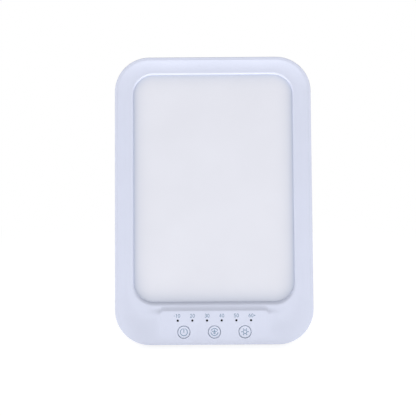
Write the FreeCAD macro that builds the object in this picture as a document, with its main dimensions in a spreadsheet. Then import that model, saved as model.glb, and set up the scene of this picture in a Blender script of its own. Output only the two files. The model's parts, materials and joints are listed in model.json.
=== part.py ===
import FreeCAD, Part
import os
from math import atan2, pi

import Sketcher

# Tablet light therapy lamp: an edge-lit light panel in a two-part housing that leans back on
# a kickstand, with three push keys and six timer lamps below the light window.
#
# The panel is drawn upright in its own frame: X to the right as seen from the front, Y into
# the depth from the front rim at y = 0, Z up from the bottom edge. Its bodies share one
# Placement that leans it back and sets its feet on z = 0.

DRIVING_SIZES = {
    # Housing
    "panel_width": 164.0,
    "panel_height": 240.0,
    "corner_radius": 29.0,
    "rear_round": 8.0,
    "rim_round": 0.6,
    "wall": 2.2,
    "parting_gap": 0.1,
    "lean": 15.0,
    # Bezel: dished from its rim down to the window
    "bezel_thickness": 3.0,
    "bezel_round": 0.4,
    "dish_depth": 1.8,
    "dish_reach": 10.0,
    "window_side": 14.8,
    "window_top": 14.5,
    "window_bottom": 35.2,
    "window_radius": 17.0,
    "window_round": 2.0,
    "collar_height": 1.0,
    "collar_width": 1.2,
    # Control platform, level with the rim
    "platform_top": 28.1,
    "platform_half": 49.0,
    "platform_round": 9.0,
    "platform_slope": 4.5,
    # Keys
    "key_radius": 5.0,
    "key_pitch": 25.2,
    "key_height": 10.5,
    "key_gap": 0.3,
    "key_round": 0.3,
    "key_travel": 0.5,
    "key_lip": 0.75,
    "key_lip_thickness": 0.75,
    "key_lip_gap": 0.15,
    "stem_radius": 2.0,
    "stem_length": 1.1,
    "plunger_radius": 1.7,
    "plunger_length": 1.4,
    "plunger_gap": 0.1,
    "switch_side": 6.0,
    "switch_depth": 2.4,
    # Timer lamps
    "lamp_count": 6,
    "lamp_pitch": 12.1,
    "lamp_radius": 0.95,
    "lamp_above_key": 9.45,
    "lamp_gap": 0.1,
    "lamp_inset": 0.2,
    "pipe_bar_height": 3.0,
    "pipe_bar_end": 2.0,
    "pipe_bar_corner": 1.0,
    "pipe_bar_thickness": 1.6,
    "lamp_chip": 1.6,
    "lamp_chip_depth": 0.8,
    # Light stack, front to back
    "diffuser_thickness": 1.5,
    "diffuser_lap": 3.5,
    "gasket_gap": 0.2,
    "layer_gap": 0.1,
    "guide_thickness": 4.0,
    "guide_lap": 1.0,
    "guide_corner": 3.0,
    "reflector_thickness": 0.4,
    "plate_thickness": 1.0,
    "plate_tab": 9.0,
    "tab_margin": 1.0,
    "strip_thickness": 0.8,
    "strip_width": 4.2,
    "led_height": 1.0,
    "led_width": 2.0,
    "led_length": 4.0,
    "led_count": 22,
    "led_pitch": 8.0,
    # Control board and what it carries
    "board_margin": 3.5,
    "board_thickness": 1.6,
    "board_corner": 1.5,
    "board_floor_gap": 2.8,
    "board_window_gap": 2.0,
    "post_edge": 4.0,
    "chip_side": 8.0,
    "chip_depth": 1.2,
    "inductor_side": 8.0,
    "inductor_depth": 4.0,
    "inductor_round": 1.5,
    "capacitor_radius": 3.15,
    "capacitor_depth": 7.7,
    "capacitor_low_gap": 1.0,
    "capacitor_high_gap": 3.0,
    "part_gap": 2.35,
    # Power inlet: a flat socket with a central tongue
    "socket_width": 9.0,
    "socket_height": 3.3,
    "socket_length": 11.8,
    "socket_skin": 0.35,
    "socket_above_key": 3.15,
    "socket_gap": 0.3,
    "tongue_width": 6.7,
    "tongue_thickness": 0.7,
    "tongue_inset": 1.0,
    "socket_back": 3.0,
    # Fasteners and the posts that they screw into
    "boss_radius": 3.0,
    "boss_gap": 0.1,
    "boss_side_gap": 0.8,
    "seat_thickness": 2.0,
    "seat_ring": 1.0,
    "post_radius": 2.5,
    "post_window_gap": 1.0,
    "high_post_side": 45.0,
    "screw_radius": 1.25,
    "head_radius": 2.4,
    "head_height": 1.6,
    "head_sink": 0.8,
    "small_screw_radius": 0.95,
    "small_head_radius": 1.8,
    "small_head_height": 1.1,
    "thread_gap": 0.05,
    "hole_gap": 0.25,
    "screw_bite": 6.0,
    "small_bite": 3.5,
    "cross_slot": 0.6,
    "low_screw": 38.0,
    "high_screw_drop": 34.0,
    # Leads from the board to the light strips
    "lead_radius": 0.8,
    "lead_drop": 2.7,
    # Kickstand
    "open_angle": 24.0,
    "hinge_height": 145.0,
    "leg_width": 59.0,
    "leg_thickness": 6.0,
    "leg_side_gap": 1.5,
    "leg_floor_gap": 0.5,
    "leg_inset": 0.5,
    "leg_skin": 2.5,
    "leg_frame": 5.0,
    "leg_foot_frame": 6.0,
    "leg_rib": 2.0,
    "leg_core_corner": 3.0,
    "leg_round": 1.0,
    "heel_height": 6.0,
    "heel_gap": 0.05,
    "stand_pad_thickness": 5.0,
    "stand_pad_corner": 3.5,
    "recess_floor": 2.0,
    "recess_wall": 2.0,
    "recess_headroom": 8.0,
    "service_gap": 1.8,
    "bracket_width": 5.8,
    "bracket_half_height": 6.5,
    "bracket_gap": 0.1,
    "bracket_round": 2.0,
    "bracket_screw_offset": 4.2,
    "shoulder_drop": 8.5,
    "washer_thickness": 0.5,
    "washer_radius": 2.8,
    "washer_gap": 0.05,
    "pin_radius": 1.5,
    "pin_fit": 0.05,
    "pin_seat_fit": 0.02,
    "pin_end_gap": 0.4,
    "pin_chamfer": 0.3,
    # Base feet
    "foot_length": 16.0,
    "foot_width": 5.0,
    "foot_thickness": 1.5,
    "foot_proud": 0.4,
    "foot_gap": 0.2,
    "foot_side_gap": 2.0,
    # Vents in the back
    "vent_count": 7,
    "vent_pitch": 5.0,
    "vent_width": 2.0,
    "vent_half_length": 18.0,
    "vent_top_gap": 22.0,
}

# Places worked out from the driving sizes, each written once and used by all that meet there.
WORKED_OUT = {
    "half_width": "dims.panel_width / 2",
    "inner_half": "half_width - dims.wall",
    "inner_radius": "dims.corner_radius - dims.wall",
    "inner_high": "dims.panel_height - dims.wall",
    "bezel_inset": "dims.wall + dims.parting_gap",
    "bezel_half": "half_width - bezel_inset",
    "bezel_high": "dims.panel_height - bezel_inset",
    "bezel_radius": "dims.corner_radius - bezel_inset",
    "window_half": "half_width - dims.window_side",
    "window_high": "dims.panel_height - dims.window_top",
    # Depths of the light stack
    "diffuser_front": "dims.bezel_thickness + dims.collar_height",
    "guide_front": "diffuser_front + dims.diffuser_thickness + dims.layer_gap",
    "reflector_front": "guide_front + dims.guide_thickness + dims.layer_gap",
    "plate_front": "reflector_front + dims.reflector_thickness + dims.layer_gap",
    "strip_middle": "(diffuser_front + dims.diffuser_thickness + plate_front) / 2",
    "plate_back": "plate_front + dims.plate_thickness",
    "recess_back": "plate_back + dims.service_gap",
    "recess_depth": "recess_back + dims.recess_floor",
    "panel_depth": "recess_depth + dims.leg_floor_gap + dims.leg_thickness + dims.leg_inset",
    "inner_depth": "panel_depth - dims.wall",
    # Widths of the light stack
    "diffuser_low": "dims.window_bottom - dims.diffuser_lap",
    "diffuser_high": "window_high + dims.diffuser_lap",
    "guide_half": "window_half + dims.guide_lap",
    "guide_low": "dims.window_bottom - dims.guide_lap",
    "guide_high": "window_high + dims.guide_lap",
    "led_near": "guide_half + dims.layer_gap",
    "strip_near": "led_near + dims.led_height",
    "strip_far": "strip_near + dims.strip_thickness",
    "plate_half": "strip_far + dims.plate_thickness",
    # Stand recess
    "recess_half": "dims.leg_width / 2 + dims.leg_side_gap",
    "island_half": "recess_half + dims.recess_wall",
    "recess_high": "dims.hinge_height + dims.recess_headroom",
    "island_high": "recess_high + dims.recess_wall",
    "hinge_depth": "recess_depth + dims.leg_floor_gap + dims.leg_thickness / 2",
    "bracket_near": "recess_half - dims.bracket_gap - dims.bracket_width",
    "barrel_half": "bracket_near - 2 * dims.washer_gap - dims.washer_thickness",
    # Power inlet
    "socket_side": "island_half + dims.socket_width",
    "socket_level": "dims.key_height + dims.socket_above_key",
    # Keys, switches and the board behind them
    "lip_front": "dims.bezel_thickness + dims.key_lip_gap",
    "lip_back": "lip_front + dims.key_lip_thickness",
    "stem_back": "lip_back + dims.stem_length",
    "switch_front": "stem_back + dims.key_travel + dims.plunger_gap",
    "board_front": "switch_front + dims.switch_depth",
    "board_back": "board_front + dims.board_thickness",
    "board_half": "socket_side + dims.socket_width / 2 + dims.board_margin",
    "board_low": "dims.wall + dims.board_floor_gap",
    "board_high": "diffuser_low - dims.board_window_gap",
    "board_post": "board_half - dims.post_edge",
    "board_post_low": "board_low + dims.post_edge",
    "board_post_high": "board_high - dims.post_edge",
    "lamp_height": "dims.key_height + dims.lamp_above_key",
    "lamp_first": "-(dims.lamp_count - 1) / 2 * dims.lamp_pitch",
    # Fixing points
    "boss_side": "plate_half + dims.boss_side_gap + dims.boss_radius",
    "boss_back": "inner_depth - dims.seat_thickness - dims.boss_gap",
    "seat_back": "panel_depth - dims.head_sink - dims.head_height",
    "high_screw": "dims.panel_height - dims.high_screw_drop",
    "middle_screw": "(dims.low_screw + high_screw) / 2",
    "lead_side": "(strip_near + strip_far) / 2",
    "plate_post_low": "diffuser_low - dims.post_window_gap - dims.post_radius",
    "plate_post_high": "diffuser_high + dims.post_window_gap + dims.post_radius",
    "plate_post_low_side": "(board_half + lead_side - dims.lead_radius) / 2",
    "plate_post_high_side": "dims.high_post_side",
    "lead_height": "plate_post_low - dims.post_radius - dims.lead_radius - dims.lead_drop",
    # Stance
    "touch_depth": "panel_depth - dims.rear_round * (1 - sin(dims.lean))",
    "touch_height": "dims.rear_round * (1 - cos(dims.lean))",
    "rest_depth": "touch_depth + dims.foot_proud * sin(dims.lean)",
    "rest_height": "touch_height - dims.foot_proud * cos(dims.lean)",
    "splay": "dims.open_angle - dims.lean",
    "front_most": "dims.rim_round * (cos(dims.lean) + sin(dims.lean) - 1)",
    "rear_most": "(panel_depth - dims.rear_round) * cos(dims.lean)"
                 " + (dims.panel_height - dims.rear_round) * sin(dims.lean) + dims.rear_round",
    "origin_y": "-(front_most + rear_most) / 2",
    "origin_z": "rest_depth * sin(dims.lean) - rest_height * cos(dims.lean)",
    "hinge_y": "origin_y + hinge_depth * cos(dims.lean) + dims.hinge_height * sin(dims.lean)",
    "hinge_z": "origin_z - hinge_depth * sin(dims.lean) + dims.hinge_height * cos(dims.lean)",
    "foot_y": "origin_y + rest_depth * cos(dims.lean) + rest_height * sin(dims.lean)",
    "foot_side": "island_half + dims.foot_side_gap + dims.foot_length / 2",
}

PANEL_PLACE = "placement(vector(0; places.origin_y; places.origin_z); rotation(vector(1; 0; 0); -dims.lean))"
LEG_PLACE = "placement(vector(0; places.hinge_y; places.hinge_z); rotation(vector(1; 0; 0); places.splay))"
FOOT_PLACE = "placement(vector(0; places.foot_y; 0); rotation(vector(1; 0; 0); 0))"

SIDES = {"left": -1, "right": 1}
KEYS = {"power": -1, "timer": 0, "brightness": 1}
PAST = 1.0     # how far a cut runs past a face
TIE = 0.2      # how far a post or a tab is rooted in what carries it
RUN_OUT = 0.5  # how far a screw's hole runs beyond the screw
FLAT = 0.05    # half of the short straight that is left between two round ends
CROSS = 0.6    # how much of a screw head's radius its cross recess spans
LEVEL = 1e-4   # how far apart two places that count as one may be

doc = FreeCAD.newDocument("light_therapy_lamp")


def fill_sheet(name, entries):
    """Make a sheet with one alias per row and return it."""
    sheet = doc.addObject("Spreadsheet::Sheet", name)
    for row, (alias, content) in enumerate(entries.items(), start=1):
        sheet.set(f"A{row}", alias)
        sheet.set(f"B{row}", content)
        sheet.setAlias(f"B{row}", alias)
    return sheet


dims = fill_sheet("dims", {name: str(value) for name, value in DRIVING_SIZES.items()})
places = fill_sheet("places", {name: "=" + rule for name, rule in WORKED_OUT.items()})
doc.recompute()


def number(expression):
    """Return the present value of an expression over the two sheets."""
    return float(dims.evalExpression(str(expression)))


def vector(point):
    return FreeCAD.Vector(point[0], point[1], 0)


def bind(sketch, expression, kind, *where):
    """Add a dimension to a sketch and tie it to an expression."""
    index = sketch.addConstraint(Sketcher.Constraint(kind, *where, number(expression)))
    sketch.setExpression(f"Constraints[{index}]", str(expression))


def bind_point(sketch, geometry, point, across, up):
    bind(sketch, across, "DistanceX", -1, 1, geometry, point)
    bind(sketch, up, "DistanceY", -1, 1, geometry, point)


def draw_circle(sketch, across, up, radius):
    centre = vector((number(across), number(up)))
    circle = sketch.addGeometry(Part.Circle(centre, FreeCAD.Vector(0, 0, 1), number(radius)))
    bind_point(sketch, circle, 3, across, up)
    bind(sketch, radius, "Radius", circle)


def draw_polygon(sketch, corners):
    """Draw a closed outline of straight edges through (across, up) corners."""
    points = [vector((number(across), number(up))) for across, up in corners]
    edges = [sketch.addGeometry(Part.LineSegment(point, points[(index + 1) % len(points)]))
             for index, point in enumerate(points)]
    for index, (across, up) in enumerate(corners):
        sketch.addConstraint(Sketcher.Constraint("Coincident", edges[index - 1], 2, edges[index], 1))
        bind_point(sketch, edges[index], 1, across, up)


def draw_outline(sketch, corners):
    """Draw a closed outline of level and upright edges with rounded corners.

    Each corner is (across, up, radius), counter-clockwise, and radius None is a sharp corner.
    """
    points = [vector((number(across), number(up))) for across, up, _ in corners]
    radii = [number(radius) if radius else 0.0 for _, _, radius in corners]
    count = len(points)
    ways = [(points[(i + 1) % count] - points[i]).normalize() for i in range(count)]
    edges = []
    for i, (across, up, _) in enumerate(corners):
        start = points[i] + ways[i] * radii[i]
        end = points[(i + 1) % count] - ways[i] * radii[(i + 1) % count]
        edges.append(sketch.addGeometry(Part.LineSegment(start, end)))
        if abs(ways[i].x) > abs(ways[i].y):
            sketch.addConstraint(Sketcher.Constraint("Horizontal", edges[i]))
            bind(sketch, up, "DistanceY", -1, 1, edges[i], 1)
        else:
            sketch.addConstraint(Sketcher.Constraint("Vertical", edges[i]))
            bind(sketch, across, "DistanceX", -1, 1, edges[i], 1)
    for i, (_, _, radius) in enumerate(corners):
        before, after = edges[i - 1], edges[i]
        if not radius:
            sketch.addConstraint(Sketcher.Constraint("Coincident", before, 2, after, 1))
            continue
        turns_left = ways[i - 1].cross(ways[i]).z > 0
        centre = points[i] + (ways[i] - ways[i - 1]) * radii[i]
        first = points[i] - ways[i - 1] * radii[i] - centre
        last = points[i] + ways[i] * radii[i] - centre
        if not turns_left:
            first, last = last, first
        circle = Part.Circle(centre, FreeCAD.Vector(0, 0, 1), radii[i])
        turn = Part.ArcOfCircle(circle, atan2(first.y, first.x), atan2(last.y, last.x))
        arc = sketch.addGeometry(turn)
        ends = (1, 2) if turns_left else (2, 1)
        sketch.addConstraint(Sketcher.Constraint("Tangent", before, 2, arc, ends[0]))
        sketch.addConstraint(Sketcher.Constraint("Tangent", arc, ends[1], after, 1))
        bind(sketch, radius, "Radius", arc)


def draw_route(sketch, corners):
    """Draw an open route: down from a start, round one bend, then level to an end."""
    side, start, end, level, turn = corners
    x, top, far, low, bend = (number(value) for value in corners)
    way = 1 if far > x else -1
    fall = sketch.addGeometry(Part.LineSegment(vector((x, top)), vector((x, low + bend))))
    run = sketch.addGeometry(Part.LineSegment(vector((x + way * bend, low)), vector((far, low))))
    circle = Part.Circle(vector((x + way * bend, low + bend)), FreeCAD.Vector(0, 0, 1), bend)
    angles = (pi, 1.5 * pi) if way > 0 else (1.5 * pi, 2 * pi)
    arc = sketch.addGeometry(Part.ArcOfCircle(circle, *angles))
    ends = (1, 2) if way > 0 else (2, 1)
    sketch.addConstraint(Sketcher.Constraint("Vertical", fall))
    sketch.addConstraint(Sketcher.Constraint("Horizontal", run))
    bind_point(sketch, fall, 1, side, start)
    bind_point(sketch, run, 2, end, level)
    sketch.addConstraint(Sketcher.Constraint("Tangent", fall, 2, arc, ends[0]))
    sketch.addConstraint(Sketcher.Constraint("Tangent", arc, ends[1], run, 1))
    bind(sketch, turn, "Radius", arc)


def rectangle(left, right, low, high, radius=None):
    """Return the corners of an upright rectangle for draw_outline."""
    return [(left, low, radius), (right, low, radius), (right, high, radius), (left, high, radius)]


def about(middle, half):
    """Return the two expressions half to each side of a middle."""
    return f"{middle} - {half}", f"{middle} + {half}"


def mirrored(side, near, far):
    """Return left and right limits of a span that is near to far from the middle on one side."""
    return (near, far) if side > 0 else (f"-({far})", f"-({near})")


class Piece:
    """One sub-part: a body whose features follow one another."""

    made = []

    def __init__(self, label, place=PANEL_PLACE):
        self.body = doc.addObject("PartDesign::Body", label)
        self.body.Label = label
        self.body.setExpression("Placement", place)
        self.last = None
        Piece.made.append(self)

    def sketch(self, role, offset, draw=None, corners=None, circles=None):
        """Add a sketch on an origin plane, moved along the panel's depth (XZ) or width (YZ)."""
        plane = next(f for f in self.body.Origin.OriginFeatures if f.Role == role)
        sketch = self.body.newObject("Sketcher::SketchObject", self.body.Name + "_sketch")
        sketch.AttachmentSupport = (plane, [""])
        sketch.MapMode = "FlatFace"
        sign = "-" if role == "XZ_Plane" else ""
        sketch.setExpression("AttachmentOffset.Base.z", f"{sign}({offset})")
        if corners:
            draw(sketch, corners)
        for circle in circles or []:
            draw_circle(sketch, *circle)
        doc.recompute()
        return sketch

    def front_outline(self, depth, corners):
        return self.sketch("XZ_Plane", depth, draw_outline, corners)

    def front_circles(self, depth, circles):
        return self.sketch("XZ_Plane", depth, circles=circles)

    def side_polygon(self, across, corners):
        return self.sketch("YZ_Plane", across, draw_polygon, corners)

    def side_circles(self, across, circles):
        return self.sketch("YZ_Plane", across, circles=circles)

    def feature(self, kind, settings=None, bound=None):
        """Add a feature, set it up and check that it changed the solid."""
        before = self.last.Shape.Volume if self.last else 0.0
        item = self.body.newObject(kind, f"{self.body.Name}_{kind.split('::')[1].lower()}")
        for name, value in (settings or {}).items():
            setattr(item, name, value)
        for name, expression in (bound or {}).items():
            item.setExpression(name, expression)
        self.body.Tip = item
        doc.recompute()
        if item.Shape.isNull() or abs(item.Shape.Volume - before) < 1e-6:
            raise RuntimeError(f"{item.Name} changed nothing")
        self.last = item
        return self

    def pad(self, sketch, length):
        """Add material from the sketch backwards, or to the right for a side sketch."""
        backwards = abs(sketch.Placement.Rotation.multVec(FreeCAD.Vector(0, 0, 1)).y) > 0.5
        return self.feature("PartDesign::Pad", {"Profile": sketch, "Reversed": backwards}, {"Length": length})

    def pocket(self, sketch, length):
        """Cut from the sketch backwards, or to the right for a side sketch."""
        backwards = abs(sketch.Placement.Rotation.multVec(FreeCAD.Vector(0, 0, 1)).y) > 0.5
        volume = self.last.Shape.Volume
        self.feature("PartDesign::Pocket", {"Profile": sketch, "Reversed": not backwards}, {"Length": length})
        if self.last.Shape.Volume >= volume:
            raise RuntimeError(f"{self.last.Name} cuts nothing")
        return self

    def drill(self, front, thickness, circles):
        """Cut round holes right through a thickness that begins at a depth."""
        return self.pocket(self.front_circles(f"{front} - {PAST}", circles), f"{thickness} + {2 * PAST}")

    def cut_out(self, front, thickness, corners):
        """Cut an outline right through a thickness that begins at a depth."""
        return self.pocket(self.front_outline(f"{front} - {PAST}", corners), f"{thickness} + {2 * PAST}")

    def loft(self, kind, first, last):
        return self.feature(f"PartDesign::{kind}Loft", {"Profile": first, "Sections": [last], "Ruled": True})

    def soften(self, radius, chosen, kind="Fillet"):
        """Round or chamfer the edges that the function chosen picks."""
        picked = [f"Edge{i}" for i, edge in enumerate(self.last.Shape.Edges, start=1) if chosen(edge)]
        size = "Radius" if kind == "Fillet" else "Size"
        return self.feature(f"PartDesign::{kind}", {"Base": (self.last, picked)}, {size: radius})

    def repeat(self, count, pitch, role="X_Axis", reverse=False):
        """Repeat the last feature along an axis of the body's origin."""
        axis = next(f for f in self.body.Origin.OriginFeatures if f.Role == role)
        settings = {"Originals": [self.last], "Direction": (axis, [""]), "Mode": "Spacing",
                    "Reversed": reverse}
        return self.feature("PartDesign::LinearPattern", settings, {"Occurrences": count, "Offset": pitch})


def samples(edge):
    first, last = edge.ParameterRange
    return [edge.valueAt(first + (last - first) * share) for share in (0.0, 0.25, 0.5, 0.75, 1.0)]


def at_depth(expression, within=None):
    """Choose edges that lie at one depth, and inside a rectangle's corners where it is given."""
    depth = number(expression)
    if within:
        left, low, right, high = (number(value) for corner in (within[0], within[2]) for value in corner[:2])

    def chosen(edge):
        points = samples(edge)
        level = all(abs(point.y - depth) < LEVEL for point in points)
        return level and (not within or all(left < point.x < right and low < point.z < high
                                            for point in points))
    return chosen


# --- Housing ---------------------------------------------------------------------------------

HOUSING_SCREWS = [(f"{side} * places.boss_side", height)
                  for side in SIDES.values()
                  for height in ("dims.low_screw", "places.middle_screw", "places.high_screw")]
BOARD_SCREWS = [(f"{side} * places.board_post", height)
                for side in SIDES.values()
                for height in ("places.board_post_low", "places.board_post_high")]
PLATE_SCREWS = [(f"{side} * places.plate_post_{level}_side", f"places.plate_post_{level}")
                for side in SIDES.values() for level in ("low", "high")]
BRACKET_SCREWS = [(f"{side} * (places.bracket_near + dims.bracket_width / 2)",
                   f"dims.hinge_height + {way} * dims.bracket_screw_offset")
                  for side in SIDES.values() for way in (-1, 1)]


def rings(centres, radius):
    return [(across, up, radius) for across, up in centres]


def key_centre(key):
    return f"{KEYS[key]} * dims.key_pitch", "dims.key_height"


def lamp_centres():
    return [(f"places.lamp_first + {index} * dims.lamp_pitch", "places.lamp_height")
            for index in range(round(number("dims.lamp_count")))]


def window_outline(grow="0"):
    """Return the window's outline, larger all round by grow."""
    return rectangle(f"-(places.window_half + {grow})", f"places.window_half + {grow}",
                     f"dims.window_bottom - {grow}", f"places.window_high + {grow}",
                     f"dims.window_radius + {grow}")


def bezel_outline(shrink="0"):
    """Return the bezel's outline, smaller all round by shrink."""
    return rectangle(f"-(places.bezel_half - {shrink})", f"places.bezel_half - {shrink}",
                     f"places.bezel_inset + {shrink}", f"places.bezel_high - {shrink}",
                     f"places.bezel_radius - {shrink}")


def platform_outline(grow):
    """Return the control platform's outline, larger at its top and sides by grow."""
    half, high, turn = (f"{size} + {grow}" for size in
                        ("dims.platform_half", "dims.platform_top", "dims.platform_round"))
    low = "places.bezel_inset + dims.bezel_round"
    return [(f"-({half})", low, None), (half, low, None), (half, high, turn), (f"-({half})", high, turn)]


def make_front_bezel():
    bezel = Piece("front_bezel")
    bezel.pad(bezel.front_outline("0", bezel_outline()), "dims.bezel_thickness")
    bezel.loft("Subtractive", bezel.front_outline("0", bezel_outline("dims.bezel_round")),
               bezel.front_outline("dims.dish_depth", bezel_outline("dims.dish_reach")))
    bezel.loft("Additive", bezel.front_outline("0", platform_outline("0")),
               bezel.front_outline(f"dims.dish_depth + {TIE}", platform_outline("dims.platform_slope")))
    bezel.pad(bezel.front_outline("dims.bezel_thickness", window_outline("dims.collar_width")),
              "dims.collar_height")
    bezel.cut_out("0", "places.diffuser_front", window_outline())
    bezel.soften("dims.window_round", at_depth("dims.dish_depth", window_outline(PAST)))
    root = f"dims.bezel_thickness - {TIE}"
    for screws, radius, back in ((HOUSING_SCREWS, "dims.boss_radius", "places.boss_back"),
                                 (BOARD_SCREWS, "dims.post_radius", "places.board_front"),
                                 (PLATE_SCREWS, "dims.post_radius", "places.plate_front")):
        bezel.pad(bezel.front_circles(root, rings(screws, radius)), f"{back} - ({root})")
    for screws, radius, back, bite in (
            (HOUSING_SCREWS, "dims.screw_radius", "places.boss_back", "dims.screw_bite"),
            (BOARD_SCREWS, "dims.small_screw_radius", "places.board_front", "dims.small_bite"),
            (PLATE_SCREWS, "dims.small_screw_radius", "places.plate_front", "dims.small_bite")):
        holes = rings(screws, f"{radius} + dims.thread_gap")
        bezel.pocket(bezel.front_circles(f"{back} - {bite} - {RUN_OUT}", holes), f"{bite} + {RUN_OUT + PAST}")
    keys = [(*key_centre(key), "dims.key_radius + dims.key_gap") for key in KEYS]
    lamps = rings(lamp_centres(), "dims.lamp_radius + dims.lamp_gap")
    bezel.drill("0", "dims.bezel_thickness", keys + lamps)


def make_rear_shell():
    shell = Piece("rear_shell")
    outer = rectangle("-places.half_width", "places.half_width", "0", "dims.panel_height",
                      "dims.corner_radius")
    shell.pad(shell.front_outline("0", outer), "places.panel_depth")
    shell.soften("dims.rim_round", at_depth("0"))
    inner = rectangle("-places.inner_half", "places.inner_half", "dims.wall", "places.inner_high",
                      "places.inner_radius")
    shell.pocket(shell.front_outline(f"-{PAST}", inner), f"places.inner_depth + {PAST}")
    shell.soften("dims.rear_round - dims.wall", at_depth("places.inner_depth"))
    island = rectangle("-places.island_half", "places.island_half", "dims.wall / 2", "places.island_high")
    shell.pad(shell.front_outline("places.recess_back", island),
              "places.inner_depth - places.recess_back + dims.wall / 2")
    shell.soften("dims.rear_round", at_depth("places.panel_depth"))
    recess = rectangle("-places.recess_half", "places.recess_half", f"-{PAST}", "places.recess_high")
    shell.pocket(shell.front_outline("places.recess_depth", recess),
                 f"places.panel_depth - places.recess_depth + {PAST}")
    seats = rings(HOUSING_SCREWS, "dims.boss_radius + dims.seat_ring")
    shell.pad(shell.front_circles("places.inner_depth - dims.seat_thickness", seats),
              "dims.seat_thickness")
    holes = rings(HOUSING_SCREWS, "dims.screw_radius + dims.hole_gap")
    shell.pocket(shell.front_circles("places.boss_back", holes), "places.panel_depth")
    sinks = rings(HOUSING_SCREWS, "dims.head_radius + dims.hole_gap")
    shell.pocket(shell.front_circles("places.seat_back", sinks), "places.panel_depth")
    holes = rings(BRACKET_SCREWS, "dims.small_screw_radius + dims.hole_gap")
    shell.drill("places.recess_back", "dims.recess_floor", holes)
    slot = rectangle(*about("places.socket_side", "(dims.socket_width / 2 + dims.socket_gap)"),
                     *about("places.socket_level", "(dims.socket_height / 2 + dims.socket_gap)"),
                     f"dims.socket_height / 2 + dims.socket_gap - {FLAT}")
    shell.cut_out("places.inner_depth", "dims.wall", slot)
    top_vent = "dims.panel_height - dims.vent_top_gap"
    vent = rectangle("-dims.vent_half_length", "dims.vent_half_length",
                     f"{top_vent} - dims.vent_width", top_vent, f"dims.vent_width / 2 - {FLAT}")
    shell.cut_out("places.inner_depth", "dims.wall", vent)
    shell.repeat("dims.vent_count", "dims.vent_pitch", "Z_Axis", reverse=True)
    # Flat seats for the two base feet, square to the table.
    half = "(dims.foot_width / 2 + dims.foot_gap)"
    inner = "(dims.foot_thickness - dims.foot_proud)"
    for side in SIDES.values():
        corners = [seat_corner(along, out) for along, out in
                   ((f"-{half}", f"-{inner}"), (half, f"-{inner}"), (half, PAST), (f"-{half}", PAST))]
        start, _ = mirrored(side, f"places.foot_side - dims.foot_length / 2 - dims.foot_gap",
                            f"places.foot_side + dims.foot_length / 2 + dims.foot_gap")
        shell.pocket(shell.side_polygon(start, corners), "dims.foot_length + 2 * dims.foot_gap")


def seat_corner(along, out):
    """Return a point of the leaning panel, along the table and out below its lowest line."""
    return (f"places.touch_depth + {along} * cos(dims.lean) + {out} * sin(dims.lean)",
            f"places.touch_height + {along} * sin(dims.lean) - {out} * cos(dims.lean)")


def make_base_feet():
    for name, side in SIDES.items():
        foot = Piece(f"{name}_base_foot", FOOT_PLACE)
        near, far = mirrored(side, "places.foot_side - dims.foot_length / 2",
                             "places.foot_side + dims.foot_length / 2")
        block = rectangle(near, far, "0", "dims.foot_thickness")
        foot.pad(foot.front_outline("-dims.foot_width / 2", block), "dims.foot_width")
        low = number("dims.foot_thickness") / 2
        foot.soften("dims.foot_proud / 2", lambda edge: all(p.z < low for p in samples(edge)), "Chamfer")


# --- Light stack -----------------------------------------------------------------------------

def lapped(lap):
    """Return a square-cornered outline that laps the window all round."""
    return rectangle(f"-(places.window_half + {lap})", f"places.window_half + {lap}",
                     f"dims.window_bottom - {lap}", f"places.window_high + {lap}", "dims.guide_corner")


def make_light_stack():
    diffuser = Piece("diffuser_panel")
    outline = window_outline("dims.diffuser_lap")
    diffuser.pad(diffuser.front_outline("places.diffuser_front", outline), "dims.diffuser_thickness")

    gasket = Piece("diffuser_gasket")
    gasket.pad(gasket.front_outline("dims.bezel_thickness", outline), "dims.collar_height")
    hole = window_outline("(dims.collar_width + dims.gasket_gap)")
    gasket.cut_out("dims.bezel_thickness", "dims.collar_height", hole)

    guide = Piece("light_guide")
    guide.pad(guide.front_outline("places.guide_front", lapped("dims.guide_lap")), "dims.guide_thickness")

    reflector = Piece("reflector_sheet")
    reflector.pad(reflector.front_outline("places.reflector_front", lapped("dims.guide_lap")),
                  "dims.reflector_thickness")


def make_backing_plate():
    """A tray: a flat plate with a flange down each side and four screw tabs."""
    plate = Piece("backing_plate")
    sheet = rectangle("-places.plate_half", "places.plate_half", "places.guide_low", "places.guide_high")
    plate.pad(plate.front_outline("places.plate_front", sheet), "dims.plate_thickness")
    for side in SIDES.values():
        near, far = mirrored(side, "places.strip_far", "places.plate_half")
        flange = rectangle(near, far, "places.guide_low", "places.guide_high")
        plate.pad(plate.front_outline("places.guide_front + dims.layer_gap", flange),
                  "places.plate_back - places.guide_front - dims.layer_gap")
        for level, edge, way in (("low", f"places.guide_low + {TIE}", -1),
                                 ("high", f"places.guide_high - {TIE}", 1)):
            middle = f"{side} * places.plate_post_{level}_side"
            end = f"places.plate_post_{level} + {way} * (dims.post_radius + dims.tab_margin)"
            low, high = (end, edge) if way < 0 else (edge, end)
            tab = rectangle(*about(middle, "dims.plate_tab / 2"), low, high)
            plate.pad(plate.front_outline("places.plate_front", tab), "dims.plate_thickness")
    holes = rings(PLATE_SCREWS, "dims.small_screw_radius + dims.hole_gap")
    plate.drill("places.plate_front", "dims.plate_thickness", holes)


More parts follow.
